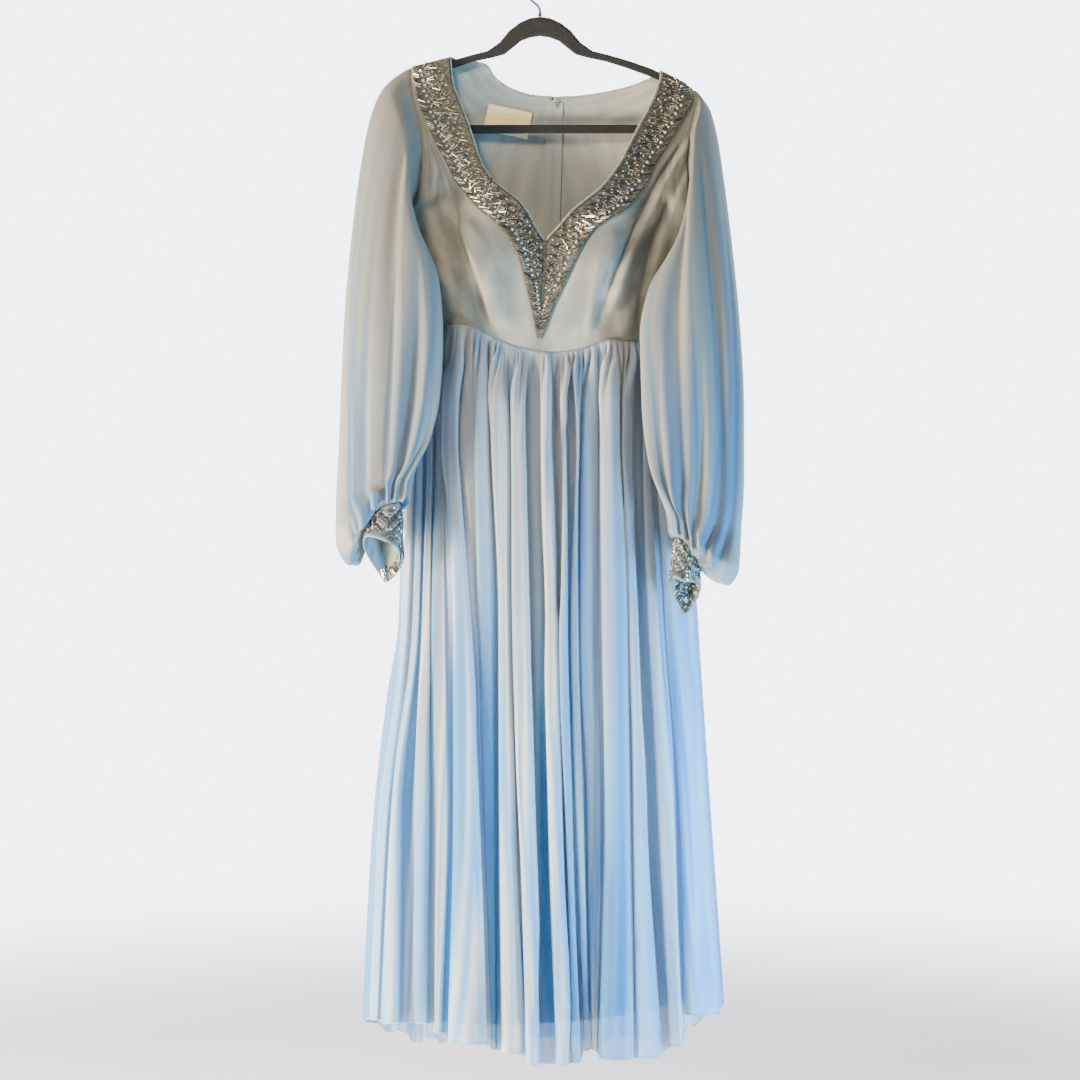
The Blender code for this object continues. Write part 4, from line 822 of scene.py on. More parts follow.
# the cloth rounds off the edges of its folds: heights and depths are averaged over neighbouring columns
for axis, count in ((1, 15), (2, 3)):
    frontSkirt[:, count // 2:-(count // 2), axis] = averaged(frontSkirt, axis, count)
across, down = shares(frontSkirt)[1], rowSteps[:, None]
height = gatherHeight(across, down, *skirt["gathers"])
height += sum(softFolds(across, down, *fold) for fold in skirt["softFolds"])
height += sum(foldLine(frontSkirt[..., 0], frontSkirt[..., 1], *crease) for crease in skirt["creases"])
height += 0.35 * drift(across * 90, down * 6, 51) * ease(down / 0.2)
frontSkirtReal = raised(asReal(frontSkirt), height * calm(across, 30, 30), front)
piece = addCloth("skirtFront", [frontSkirtReal], chiffon, "skirt_front", skirt["wall"])

backSkirtReal = []
for side, right in sides:
    grid = refine(skirtBackControl(rowSteps, side, right), columns=skirt["backColumns"])
    across, seed = shares(grid)[1], (61, 71)[right]
    height = gatherHeight(across, down, 26, seed, 2.4) + softFolds(across, down, 22, seed + 1, 1.5)
    height += softFolds(across, down, 11, seed + 2, 2.0)
    backSkirtReal.append(raised(asReal(grid), height * calm(across, 14, 7), rear))
    node = "skirt_back_" + side.lower()
    piece = addCloth("skirtBack" + side, backSkirtReal[-1:], chiffon, node, skirt["wall"])

# the lining hangs inside the skirt: how far in, how much shorter, and how far its hem bows down before and behind
lining = {"inset": 7, "rise": 36, "bow": {"Front": 50, "Back": 26}, "grid": (60, 90), "wall": 0.5}
for name in ("Front", "Back"):
    isFront = name == "Front"
    turn = np.linspace(0, np.pi, lining["grid"][1])[None, :]
    across = 0.5 - 0.5 * np.cos(turn)
    down = np.linspace(0, 1, lining["grid"][0])[:, None]
    hem = mix(skirt["hemLeft"], skirt["hemRight"], across) - lining["bow"][name] * np.sin(turn)
    left, right = level(waist["backZ"], 1) + lining["inset"], level(waist["backZ"], 2) - lining["inset"]
    z = mix(seamPlace(mix(left, right, across), isFront)[..., 1] - 2, hem + lining["rise"], down)
    left, right = level(z, 1) + lining["inset"], level(z, 2) - lining["inset"]
    x = mix(left, right, across)
    full = level(z, 3 if isFront else 4) - lining["inset"]
    deep = 0.45 + sideDepth(np.minimum(x - left, right - x), full, skirtHollow(z, isFront), near=4)
    wave = 1.3 * drift(across * 9, down * 2, 81 + isFront) * ease(down * 4) * np.sin(turn)
    grid = np.stack([x, z, (-1 if isFront else 1) * (deep + wave - 0.6)], -1)
    piece = addCloth("lining" + name, [asReal(grid)], taffeta, "lining_" + name.lower(), lining["wall"])


# Sleeves and cuffs

sleeves = {
    # rings of the crown, the front, the underarm and the back, each as x z y, and how deep the folds are
    "Left": [
        (-207, -154, -4, -174, -232, -48, -190, -346, -28, -188, -228, 20, 1.0),
        (-222, -188, -10, -180, -262, -64, -174, -360, -44, -200, -258, 14, 2.5),
        (-236, -262, -20, -188, -310, -76, -150, -380, -52, -208, -312, 2, 4.5),
        (-250, -375, -34, -194, -392, -86, -133, -414, -58, -210, -394, -10, 6.5),
        (-258, -470, -44, -195, -478, -92, -127, -484, -64, -208, -478, -20, 7.5),
        (-262, -556, -52, -196, -560, -98, -131, -560, -73, -208, -560, -30, 8),
        (-265, -640, -60, -198, -628, -104, -145, -620, -82, -212, -640, -38, 7),
        (-268, -708, -66, -200, -668, -109, -163, -656, -88, -220, -700, -43, 4.5),
    ],
    "Right": [
        (223, -180, -4, 202, -238, -48, 214, -348, -28, 219, -236, 20, 1.0),
        (232, -214, -10, 202, -268, -64, 198, -364, -44, 222, -266, 14, 2.5),
        (241, -280, -20, 205, -318, -76, 174, -384, -52, 226, -320, 2, 4.5),
        (254, -380, -34, 206, -398, -86, 147, -420, -58, 224, -398, -10, 6.5),
        (265, -480, -44, 206, -486, -92, 132, -490, -64, 222, -486, -20, 7.5),
        (271, -575, -52, 206, -576, -98, 133, -574, -73, 222, -576, -30, 8),
        (272, -668, -60, 204, -664, -106, 143, -654, -84, 222, -664, -40, 7),
        (268, -742, -66, 199, -712, -112, 160, -698, -92, 222, -736, -45, 4.5),
    ],
    # where the sleeve is let down over the cuff: outward, more where it hangs, up, down
    "puckers": ((10, 42, 24, 60), (8, 30, 10, 70), (4.5, 18, 3.5, 38)),
    "pouch": {"Left": 1, "Right": 0.4},
    "steps": (90, 61), "columns": 220, "wall": 0.4,
    # each trough between two folds: degrees round from the crown at the shoulder, elbow and cuff,
    # depth, width in degrees, and the ring where it starts
    "LeftTroughs": (
        (34, 30, 26, 5, 13, 4.5), (60, 58, 48, 7, 12, 5.5), (82, 90, 72, 9, 14, 1.5), (118, 122, 100, 8, 13, 4.0),
        (146, 150, 134, 6, 15, 6.0), (190, 188, 176, 7, 16, 3.0), (226, 230, 220, 8, 15, 4.5),
        (262, 270, 262, 8, 16, 2.0), (316, 318, 314, 8, 17, 3.0),
    ),
    "RightTroughs": (
        (24, 26, 26, 5, 13, 4.0), (58, 54, 46, 8, 14, 2.0), (80, 84, 70, 8, 11, 5.5), (98, 108, 92, 9, 13, 2.5),
        (136, 134, 118, 7, 14, 5.0), (176, 172, 160, 7, 15, 4.0), (212, 214, 206, 8, 15, 3.0),
        (252, 250, 246, 7, 16, 5.0), (292, 296, 294, 8, 17, 2.0), (334, 336, 336, 6, 14, 5.0),
    ),
    "troughRows": (1, 5, 9.5, 13), "cuffGathers": 26, "headGathers": 34,
    # depths: a factor for the troughs, how far the cloth stands out between them, the gathers at cuff and head
    "troughDepth": 1.55, "fullness": 2.4, "cuffDepth": 2.6, "headDepth": 1.1,
    # in rings: how long a trough takes to grow, and where and how fast it fades; the same for the cuff's gathers;
    # and where those of the head end
    "troughGrow": 3.2, "troughFade": (11, 2.5), "cuffGrow": (9.4, 1.6), "cuffFade": (12, 1.2), "headEnd": 1.8,
}
cuffs = {
    # loops of the top and the foot by the same four places
    "Left": ((-217, -720, -84, -201, -709, -100, -184, -711, -86, -200, -738, -66),
             (-237, -762, -92, -211, -756, -112, -183, -779, -92, -205, -812, -70)),
    "Right": ((212, -798, -90, 199, -768, -106, 180, -753, -92, 205, -776, -70),
              (214, -822, -88, 190, -811, -112, 174, -813, -96, 192, -856, -78)),
    "start": 175, "turn": 385, "slack": 0.16, "rows": 20, "columns": 160, "wall": 1.6,
    # width of the plain top, the stretch of the way round where the beaded face shows within, and from how low
    "plainTop": {"Left": 7.0, "Right": 1.0},
    "turnedOver": {"Left": (0.02, 0.32), "Right": (0.02, 0.52)}, "turnedFrom": {"Left": 0.72, "Right": 0.1},
    "pointed": 0.75,
}


def ringPoints(row, angle):
    # closed curve through four places: their middle, two half diameters and their twist
    crown, forward, under, behind = (realPlace(*row[k:k + 3]) for k in (0, 3, 6, 9))
    middle = (crown + forward + under + behind) / 4
    twist = (crown + under - forward - behind) / 4
    angle = np.asarray(angle)[..., None]
    points = middle + (crown - under) / 2 * np.cos(angle) + (forward - behind) / 2 * np.sin(angle)
    return points + twist * np.cos(2 * angle), middle


def sleeveGrid(side, right):
    # the control rows of a sleeve, from the armhole over the rings to the top of its cuff
    outward = 1 if right else -1
    turn = np.arange(sleeves["columns"]) / sleeves["columns"]
    angle = turn * 2 * np.pi
    at = 1 + (1 - np.abs(1 - 2 * turn)) * (bodice["armholeRows"] - 2)
    down, up = (refine(control[right][:, -1], at) for control in (frontControl, backControl))
    hole = np.where((turn <= 0.5)[:, None], down, up)
    lift = np.maximum(np.cos(angle), 0)
    first = realPlace(hole[:, 0] - outward * 0.3, hole[:, 1] + 0.8 * lift, hole[:, 2] - 0.35 * np.sin(angle))
    rows = [first] + [ringPoints(ring, angle)[0] for ring in sleeves[side]]
    rows.insert(1, mix(rows[0], rows[1], 0.18) + (outward * 3, 0, 0))
    points, middle = ringPoints(cuffs[side][0], angle)
    out = unit((points - middle) * (1, 1, 0))
    hang = (np.maximum(0, np.cos(angle + math.radians(15))) ** 1.5)[:, None]
    for far, farther, rise, drop in sleeves["puckers"]:
        height = np.array([0, 0, 1]) * (rise - drop * hang * sleeves["pouch"][side])
        rows.append(points + out * (far + farther * hang) + height)
    rows.append(points + out * 0.6 + (0, 0, 2.2))
    return np.array(rows), turn[None, :]


def since(rows, key):
    # 0 to 1 over a stretch of a sleeve's rings, given as its start and length
    start, length = sleeves[key]
    return ease((rows - start) / length)


def sleeveHeight(rows, turns, last, side, right, seed):
    # the troughs between the folds, soft unevenness, the gathers at the cuff and those at the sleeve's head
    outward = 1 if right else -1
    step = rows / last
    height = 0 * turns * step
    for top, elbow, end, deep, wide, start in sleeves[side + "Troughs"]:
        at = through(sleeves["troughRows"], (top, elbow, mix(elbow, end, 0.6), end), rows)
        at = at + 3 * wander(rows, seed + elbow, 1.7)
        apart = (turns * 360 - at + 180) % 360 - 180
        grown = ease((rows - start) / sleeves["troughGrow"]) * (1 - 0.45 * since(rows, "troughFade"))
        grown = grown * (0.85 + 0.25 * wander(rows, seed + end, 2.1))
        # one bank of a trough is steep and the other runs out
        bank = np.where(apart * outward > 0, 0.5, 8)
        height -= sleeves["troughDepth"] * deep * grown * np.exp(-((apart / wide) ** 2) * bank)
    soft = 0.9 * around(turns, 2.6, step * 2.2, seed) * ease(rows / 3)
    height += sleeves["fullness"] * ease((rows - 1.5) / 3) + soft
    near = since(rows, "cuffGrow") * (1 - 0.5 * since(rows, "cuffFade"))
    cuffPhase = turns * sleeves["cuffGathers"] + 0.6 * around(turns, 3.1, 0.4, seed + 4)
    uneven = 0.6 + 0.4 * around(turns, 4.0, step * 1.5, seed + 5)
    height += near * sleeves["cuffDepth"] * uneven * gathers(cuffPhase)
    crown = np.maximum(0, np.cos(turns * 2 * np.pi)) ** 0.6
    head = ease(1 - rows / sleeves["headEnd"]) * ease(rows / 0.35) * crown
    headPhase = turns * sleeves["headGathers"] + 0.5 * around(turns, 3.0, 0.2, seed + 6)
    height += head * sleeves["headDepth"] * gathers(headPhase)
    return height * (ease(rows / 0.6) * mix(0.15, 1, ease((last - rows) / 0.7)))


def cuffGrid(side):
    share = np.linspace(0, 1, cuffs["columns"])
    angle = np.radians(cuffs["start"] + cuffs["turn"] * share)
    # the strip overlaps itself, its end lying further in
    inward = np.array([1, 1, 0]) * cuffs["slack"] * share[:, None]
    edges = []
    for loop, pointed in zip(cuffs[side], (0, cuffs["pointed"])):
        # the hanging half of the foot narrows to a tip
        points, middle = ringPoints(loop, angle)
        tip = np.where(np.sin(angle) < 0, np.abs(np.cos(angle)) ** pointed, 1)[:, None]
        points = mix(middle + (points - middle) * (0, 1, 1), points, tip)
        edges.append(points + (middle - points) * inward)
    return mix(*edges, np.linspace(0, 1, cuffs["rows"])[:, None, None])


print("making the sleeves")
for side, right in sides:
    control, turns = sleeveGrid(side, right)
    last = len(control) - 1
    rows = paced((0, 9, last), sleeves["steps"])
    grid = refine(control, rows)
    height = sleeveHeight(rows[:, None], turns, last, side, right, (101, 131)[right])
    grid = raised(grid, height, grid - grid.mean(1, keepdims=True), closed=True)
    node = "sleeve_" + side.lower()
    piece = addCloth("sleeve" + side, [grid], sleeveChiffon, node, sleeves["wall"], closed=True)


# Beadwork

print("making the beaded band and cuffs")
# Beading ground: the dress chiffon backed with net, greyed by the thread, and darkened much further with painted
# shade between the beads.
shadedBeadGround = wovenCloth("beading ground with painted shade", ("30322d", "3f413a", "53554d"), (4, 4), sheen=0.2, relief=0.2)
# The cuff's plain inside: chiffon on crepe, as in the bodice, in darker shades that are painted shade within the
# cuff.
shadedCuffFacing = wovenCloth("cuff facing with painted shade", ("4f6069", "5d6f78", "6c7c84"), (12, 40), relief=0.12)
# Glass beads have a metal lining in their bore and rhinestones a foil behind them, seen through clear glass.
finishes = {
    "gold": metal("gold-lined glass bugle", "94907a", 0.2, metallic=0.75),
    "silver": metal("silver-lined glass bugle", "b2b2aa", 0.18, metallic=0.75),
    "gunmetal": metal("gunmetal glass bead", "55544f", 0.24, metallic=0.75),
    "crystal": metal("foil-backed rhinestone", "f6f8fa", 0.1, 0.03, metallic=0.6),
}
beads = {
    "bugle": 11.0, "bugleRadius": 0.85, "borderLean": 56, "borderPitch": 3.5, "borderIn": 4.8,
    "fanPitch": 15, "fanRays": 6, "fanSpread": 50, "stone": 2.1, "seed": 0.85,
    # the wall of the band's ground and how far its middle lies off the bodice's
    "bandWall": 1.4, "bandLift": 1.9,
    # the width that the border takes, the least that a fan needs, and how far from its root its bugles start
    "border": 10, "fanRoom": 15, "fanStart": 2.6,
    # chances of gold and, if not gold, of silver; degrees by which a bugle and a whole fan stray
    "goldChance": 0.55, "silverChance": 0.7, "stray": 5, "fanStray": 14,
    # seed beads in a swirl and the degrees between them; the spacing where the band is too narrow for a fan,
    # along the inner edge, and on the cuffs
    "swirl": (16, 13), "narrowPitch": 5.5, "edgePitch": 2.6, "cuffPitch": (4.4, 4.2),
}


class Surface:
    # a grid of points with its measured lengths, so that beads can be placed by millimetres along and across
    def __init__(self, points, outward):
        self.points, self.normals = points, normalsOf(points, outward)
        middle = points[:, points.shape[1] // 2]
        self.along = runningSum(np.linalg.norm(np.diff(middle, axis=0), axis=1))
        self.widths = np.linalg.norm(np.diff(points, axis=1), axis=2).sum(1)
        self.length = self.along[-1]

    def width(self, a):
        return np.interp(a, self.along, self.widths)

    def at(self, a, b):
        # place and normal at a millimetres along the middle and b millimetres across
        rows, columns = self.points.shape[:2]
        row = np.interp(a, self.along, np.arange(rows))
        column = np.clip(b / np.maximum(self.width(a), 0.1), 0, 1) * (columns - 1)
        i, j = np.clip(row.astype(int), 0, rows - 2), np.clip(column.astype(int), 0, columns - 2)
        s, t = (row - i)[:, None], (column - j)[:, None]
        place, normal = (mix(mix(grid[i, j], grid[i, j + 1], t), mix(grid[i + 1, j], grid[i + 1, j + 1], t), s)
                         for grid in (self.points, self.normals))
        return place, unit(normal)


def manyBodies(name, points, sides, *caps):
    # one mesh of equal bodies: each has walls between two rings of its corners, and caps listed by their corners
    k = np.arange(sides)
    walls = np.stack([k, (k + 1) % sides, (k + 1) % sides + sides, k + sides], -1)
    start = (np.arange(len(points)) * points.shape[1])[:, None, None]
    faces = []
    for corners in (walls, *caps):
        faces += (corners + start).reshape(-1, corners.shape[-1]).tolist()
    mesh = bpy.data.meshes.new(name)
    mesh.from_pydata((points.reshape(-1, 3) * millimetre).tolist(), [], faces)
    mesh.update()
    return mesh


def prisms(name, places, ways, ups, length, radius, sides=6):
    # straight beads: two rings and two ends each
    ways = unit(ways)
    sideways = unit(np.cross(ways, ups))
    ring = radius * ringsOf(sideways, np.cross(sideways, ways), sides)
    half = (ways * np.asarray(length).reshape(-1, 1) / 2)[:, None]
    points = np.concatenate([places[:, None] - half + ring, places[:, None] + half + ring], axis=1)
    k = np.arange(sides)
    return manyBodies(name, points, sides, np.stack([k[::-1], k + sides]))


def stones(name, places, ups, radius, sides):
    # cut stones: a girdle ring, a table ring above it and a point below
    sideways = unit(np.cross(ups, (0.3, 0.2, 0.93)))
    radius = radius.reshape(-1, 1, 1)
    ring = radius * ringsOf(sideways, np.cross(ups, sideways), sides)
    places, up = places[:, None], ups[:, None] * radius
    points = np.concatenate([places + ring, places + ring * 0.5 + up * 0.8, places - up * 0.5], axis=1)
    k = np.arange(sides)
    under = np.stack([(k + 1) % sides, k, k * 0 + 2 * sides], -1)
    return settled(manyBodies(name, points, sides, under, (k + sides)[None]))


def stray(chance, most):
    return chance.uniform(-most, most)


def borderPlan(surface, outer, chance, first, last):
    # a row of slanted bugles along the outer edge
    plan = []
    for a in np.arange(first, last, beads["borderPitch"]):
        wide = float(surface.width(a))
        kind = "gold" if chance.random() < beads["goldChance"] else "gunmetal"
        if kind != "gold" and chance.random() < beads["silverChance"]:
            kind = "silver"
        if wide > 5:
            lean = 180 - beads["borderLean"] + stray(chance, beads["stray"])
            plan.append((a, wide - outer - min(beads["borderIn"], wide / 2), lean, kind))
    return plan


def beadPlan(surface, inner, outer, seed, first, last):
    # bugles as (along, across, angle, kind) and round beads as (along, across, radius, kind)
    # angle 0 points along the band and 90 points across it, towards the outer edge
    chance = np.random.default_rng(seed)
    bugles, rounds = borderPlan(surface, outer, chance, first, last), []
    stone, pitch, rays = beads["stone"], beads["fanPitch"], beads["fanRays"]
    a, k = first + 6, 0
    while a < last - 4:
        wide = float(surface.width(a)) - outer - beads["border"]
        if wide > beads["fanRoom"]:
            # a fan opens from near the border towards the neck edge
            base = wide - 1 - 1.5 * (k % 2)
            reach = min(beads["bugle"], wide * 0.5)
            middle = -90 + stray(chance, beads["fanStray"])
            for ray in range(rays):
                aside = (ray - (rays - 1) / 2) * 2 * beads["fanSpread"] / (rays - 1)
                turn = middle + aside + stray(chance, beads["stray"])
                r = beads["fanStart"] + reach / 2 + stray(chance, 0.8)
                step = r * math.cos(math.radians(turn)), r * math.sin(math.radians(turn))
                bugles.append((a + step[0], base + step[1], turn, "silver" if (ray + k) % 3 == 0 else "gold"))
            for along, across, size in ((0, 0.6, 1.1), (0.45, -0.5, 0.85), (0.5, -reach * 0.85, 0.7)):
                rounds.append((a + pitch * along, base + across, stone * size, "crystal"))
            # two or three bugles and a swirl of seed beads fill the space up to the neck edge
            for piece in range(4):
                across = base - reach - 4 - 4.5 * piece
                place = a + pitch * (0.5 if piece % 2 else 0.05) + stray(chance, 2)
                if across > inner + 1:
                    bugles.append((place, across, chance.uniform(-150, -30), "gunmetal" if piece % 2 else "gold"))
                    rounds.append((place + 5, across + 1, stone * 0.6, "crystal"))
            count, apart = beads["swirl"]
            for arc in range(count):
                turn, far = math.radians(-90 + (arc - (count - 1) / 2) * apart), 3.5 + reach + 2
                rounds.append((a + far * math.cos(turn), base + far * math.sin(turn), beads["seed"], "gunmetal"))
            a += pitch
        else:
            if wide > 0:
                bugles.append((a, wide / 2 + 4, -90 + stray(chance, 30), "silver" if k % 2 else "gold"))
                rounds.append((a + 3, wide * 0.7, stone * 0.8, "crystal"))
            a += beads["narrowPitch"]
        k += 1
    # seed beads run along the inner edge
    rounds += [(a, inner, beads["seed"], "gunmetal") for a in np.arange(first, last, beads["edgePitch"])
               if surface.width(a) > 12]
    return bugles, rounds


def scatterPlan(surface, inner, outer, seed, first, last):
    # the cuffs are beaded all over: short curling rows of bugles with a stone in every fourth place
    chance = np.random.default_rng(seed)
    bugles, rounds = borderPlan(surface, outer, chance, first, last), []
    count, (pitch, rowPitch) = 0, beads["cuffPitch"]
    for a in np.arange(first, last, pitch):
        for b in np.arange(inner + 2, float(surface.width(a)) - outer - 8, rowPitch):
            place, across = a + stray(chance, 1), b + stray(chance, 1)
            if count % 4 == 1:
                rounds.append((place, across, beads["stone"] * chance.uniform(0.7, 1.05), "crystal"))
            else:
                turn = 90 + 70 * math.sin(a / 8 + b / 11) + stray(chance, 15)
                bugles.append((place, across, turn, ("gold", "silver", "gold", "gunmetal")[(count + int(b)) % 4]))
                rounds.append((place + 2.3, across + 2.2, beads["seed"], "gunmetal"))
            count += 1
    return bugles, rounds


def onSurface(plan, kind, surface, low, room, margin):
    # the beads of one kind, as columns, that keep clear of the inner edge, the outer edge and the ends
    rows = np.array([bead[:3] for bead in plan if bead[3] == kind], float).reshape(-1, 3)
    a, b = rows[:, 0], rows[:, 1]
    return rows[(b > low) & (b < surface.width(a) - room) & (a > margin) & (a < surface.length - margin)].T


def sewBeads(name, surfaces, inner, outer, margins, makePlan, share=1.0):
    # places the plans of several surfaces and makes one mesh for each kind of bead
    tubes, balls = {kind: [] for kind in finishes}, {kind: [] for kind in finishes}
    for n, surface in enumerate(surfaces):
        bugles, rounds = makePlan(surface, inner, outer, 7 + n, margins[0], surface.length - margins[1])
        for kind in finishes:
            a, b, angle = onSurface(bugles, kind, surface, inner - 0.5, -math.inf, 2)
            if len(a):
                place, up = surface.at(a, b)
                along, across = 2 * np.cos(np.radians(angle)), 2 * np.sin(np.radians(angle))
                way = surface.at(a + along, b + across)[0] - surface.at(a - along, b - across)[0]
                good = np.linalg.norm(way, axis=1) > 0.5
                tubes[kind].append((place[good] + up[good] * beads["bugleRadius"] * 0.8, way[good], up[good]))
            a, b, radius = onSurface(rounds, kind, surface, inner - 1, outer + 2, 1)
            if len(a):
                place, up = surface.at(a, b)
                balls[kind].append((place + up * 0.25, up, radius))
    made = []
    for kind, parts in tubes.items():
        if parts:
            place, way, up = (np.concatenate(column) for column in zip(*parts))
            chance = np.random.default_rng(len(place))
            lift = chance.uniform(-0.22, 0.22, (len(way), 1)) * np.linalg.norm(way, axis=1, keepdims=True)
            mesh = prisms(name + "Bugles" + kind.capitalize(), place + up * 0.2, way + up * lift, up,
                          share * beads["bugle"] * chance.uniform(0.75, 1.0, len(place)), beads["bugleRadius"])
            made.append(addPiece(mesh.name, mesh, finishes[kind]))
    for kind, parts in balls.items():
        if parts:
            ending, corners = ("Stones", 8) if kind == "crystal" else ("Seeds", 5)
            mesh = stones(name + ending, *(np.concatenate(column) for column in zip(*parts)), corners)
            made.append(addPiece(mesh.name, mesh, finishes[kind]))
    return made


bandRows = paced((1, bodice["pointRow"], len(frontControl[0]) - 2), (110, 36))
bandColumns = np.linspace(0, bodice["bandCuts"], 22)
bandReal = [refine(raised(asReal(control), beads["bandLift"], front), bandRows, bandColumns)
            for control in frontControl]
joinMiddle(bandReal, np.searchsorted(bandRows, bodice["pointRow"] - 0.3))
neckBand = addCloth("neckBand", bandReal, shadedBeadGround, "neck_band", beads["bandWall"])
bandSurfaces = [Surface(raised(grid, beads["bandWall"] / 2, front), front) for grid in bandReal]
bandBeads = sewBeads("band", bandSurfaces, 2.4, 0.5, (4, 4), beadPlan)

for side, right in sides:
    grid = cuffGrid(side)
    centre = grid.mean(1, keepdims=True)
    cuffPiece = addCloth("cuff" + side, [grid], shadedCuffFacing, "cuff_" + side.lower(), cuffs["wall"])
    face = cuffs["wall"] / 2 + 0.1
    outer, within = (np.swapaxes(raised(grid, far, grid - centre), 0, 1) for far in (face, -face))
    away = outer - np.swapaxes(centre, 0, 1)
    plain = cuffs["plainTop"][side]
    cuffBeads = sewBeads("cuff" + side, [Surface(outer, away)], plain, 1.0, (3, 8), scatterPlan, 0.75)
    # the cuff is twisted, so that its beaded face also shows within the foot
    low, high = (int(share * cuffs["columns"]) for share in cuffs["turnedOver"][side])
    top = int(cuffs["rows"] * cuffs["turnedFrom"][side])
    turned = Surface(within[low:high, top:], -away[low:high, top:])
    cuffBeads += sewBeads("cuffTurned" + side, [turned], 1.0, 0.6, (1, 1), scatterPlan, 0.7)


# Edges and seams

print("making the edges, zip and label")
# Edging, cord and hem are strips of the dress chiffon, the first two cut on the bias and folded round a cord.
pipingCloth = wovenCloth("bias-cut edging", ("737c79", "828a86", "919893"), (6, 6), thread=1.2, sheen=0.2)
# the waist cord is the edging's chiffon in darker shades: painted shade along the waist seam
shadedWaistCord = wovenCloth("waist cord with painted shade", ("525e63", "5f6c71", "6c787c"), (6, 6), thread=1.2)
rolledHem = wovenCloth("rolled chiffon hem", ("a4bcd4", "b3cae1", "c1d4e7"), (14, 60), thread=1.2, sheen=0.3,
                       glow=0.25)


def beyond(grid, last, far):
    # the first column down to a row, moved out of the cloth square to its edge
    edge, inner = grid[:last + 1, 0], grid[:last + 1, 1]
    along = unit(np.gradient(edge, axis=0))
    step = edge - inner
    step -= along * (step * along).sum(1, keepdims=True)
    return edge + unit(step) * far


# radii
cords = {"neck": 1.25, "waist": 0.85, "hem": 0.65}
neckPlace = (bodice["backGrid"][0] - 1) * bodice["neckRow"] / (len(backControl[0]) - 1)
neckEdge = [beyond(grid, round(pointPlace), 0.9)[2:-3] for grid in frontReal]
backEdge = [beyond(grid, round(neckPlace), 0.9)[2:] for grid in backReal]
vPoint = frontReal[0][round(pointPlace), 0] + (0, -0.5, 2.6)
line = np.concatenate([backEdge[0][::-1], neckEdge[0], [vPoint], neckEdge[1][::-1], backEdge[1]])
reached = runningSum(np.linalg.norm(np.diff(line, axis=0), axis=1))
even = np.linspace(0, reached[-1], 520)
line = np.stack([np.interp(even, reached, line[:, k]) for k in range(3)], -1)
addPiece("neckBinding", tubeMesh("neckBinding", line, cords["neck"]), pipingCloth, "neck_binding")

x = np.linspace(waist["x"][0] + 1, waist["x"][-1] - 1, 260)
line = asReal(seamPlace(x, True)) + (0, -0.35, 0.3)
addPiece("waistPiping", tubeMesh("waistPiping", line, cords["waist"], 6), shadedWaistCord)
for name, grid in zip(("hemFront", "hemBackLeft", "hemBackRight"), [frontSkirtReal] + backSkirtReal):
    addPiece(name, tubeMesh(name, grid[-1] + (0, 0, 0.4), cords["hem"], 5), rolledHem)


# Zip, hook and eye, label

# Woven polyester tape, drawn with the yarns that show; the slider and teeth are plated or bare cast metal.
zipTape = wovenCloth("polyester zip tape", ("7e8986", "89928d", "929a93"), (3, 30), thread=0.9)
nickel = metal("plated zinc zip slider", "a8a493", 0.3)
zipMetal = metal("aluminium zip teeth", "9aa5a8", 0.35)
# Hook and eye of bent brass wire, dulled; the hanger's wire is bright chromed steel.
brass = metal("brass hook and eye", "8d8f62", 0.35)
chromed = metal("chromed hanger wire", "d9dadb", 0.14, 0.04)


def backDepth(z):
    stations = np.array(bodice["backLeft"], float)[bodice["neckRow"]:]
    skirtZ, skirtY = (waist["backZ"], -530, -636, -700), (waist["back"], 20, 25, 27.3)
    return through([*stations[:, 1], *skirtZ], [*stations[:, 2], *skirtY], z)


u, v = np.meshgrid(np.linspace(-6.5, 6.5, 8), np.linspace(-170.2, -181, 8))
addCloth("zipTapeTop", [realPlace(20 + u, v, backDepth(v) - 0.9)], zipTape, None, 0.4)
zipper = {"top": -176, "end": -646, "pitch": 1.9, "radius": 0.62}
z = np.arange(zipper["top"], zipper["end"], -zipper["pitch"])
sign = np.where(np.arange(len(z)) % 2, 1, -1)
teeth = realPlace(centreBack(z) + sign * 0.45, z, backDepth(z) - 1.15)
ways, ups = (np.tile(way, (len(z), 1)) for way in ([1.0, 0, 0], [0, -1.0, 0]))
teethMesh = prisms("zipTeeth", teeth, ways, ups, zipper["pitch"], zipper["radius"], 4)
addPiece("zipTeeth", teethMesh, zipMetal)

# bent wires: where each lies as x and z in the front view, and points along it
wires = {
    "neckHook": (15.4, -172, ((-1.6, 0, 3.2), (-2.6, -0.2, 1.6), (-1.4, -0.3, 0.2), (0, -0.3, 1.4),
                              (0, -0.5, 5.2), (0, -1.2, 6.6), (0, -1.9, 5.4), (0, -1.9, 3.4))),
    "neckEye": (22.6, -180, ((-2.2, 0, 3.4), (-2.9, 0, 4.4), (-1.6, 0, 4.8), (-1.1, -0.3, 3.2), (-1.2, -0.6, 0.4),
                             (0, -0.8, -1.2), (1.2, -0.6, 0.4), (1.1, -0.3, 3.2), (1.6, 0, 4.8), (2.9, 0, 4.4),
                             (2.2, 0, 3.4))),
}
for name, (x, z, line) in wires.items():
    base = realPlace(x, z, backDepth(np.array(z)) - 2.2)
    smooth = refine(np.array(line, float), len(line) * 6)
    addPiece(name, tubeMesh(name, smooth * 1.15 + base, 0.5, 6), brass)

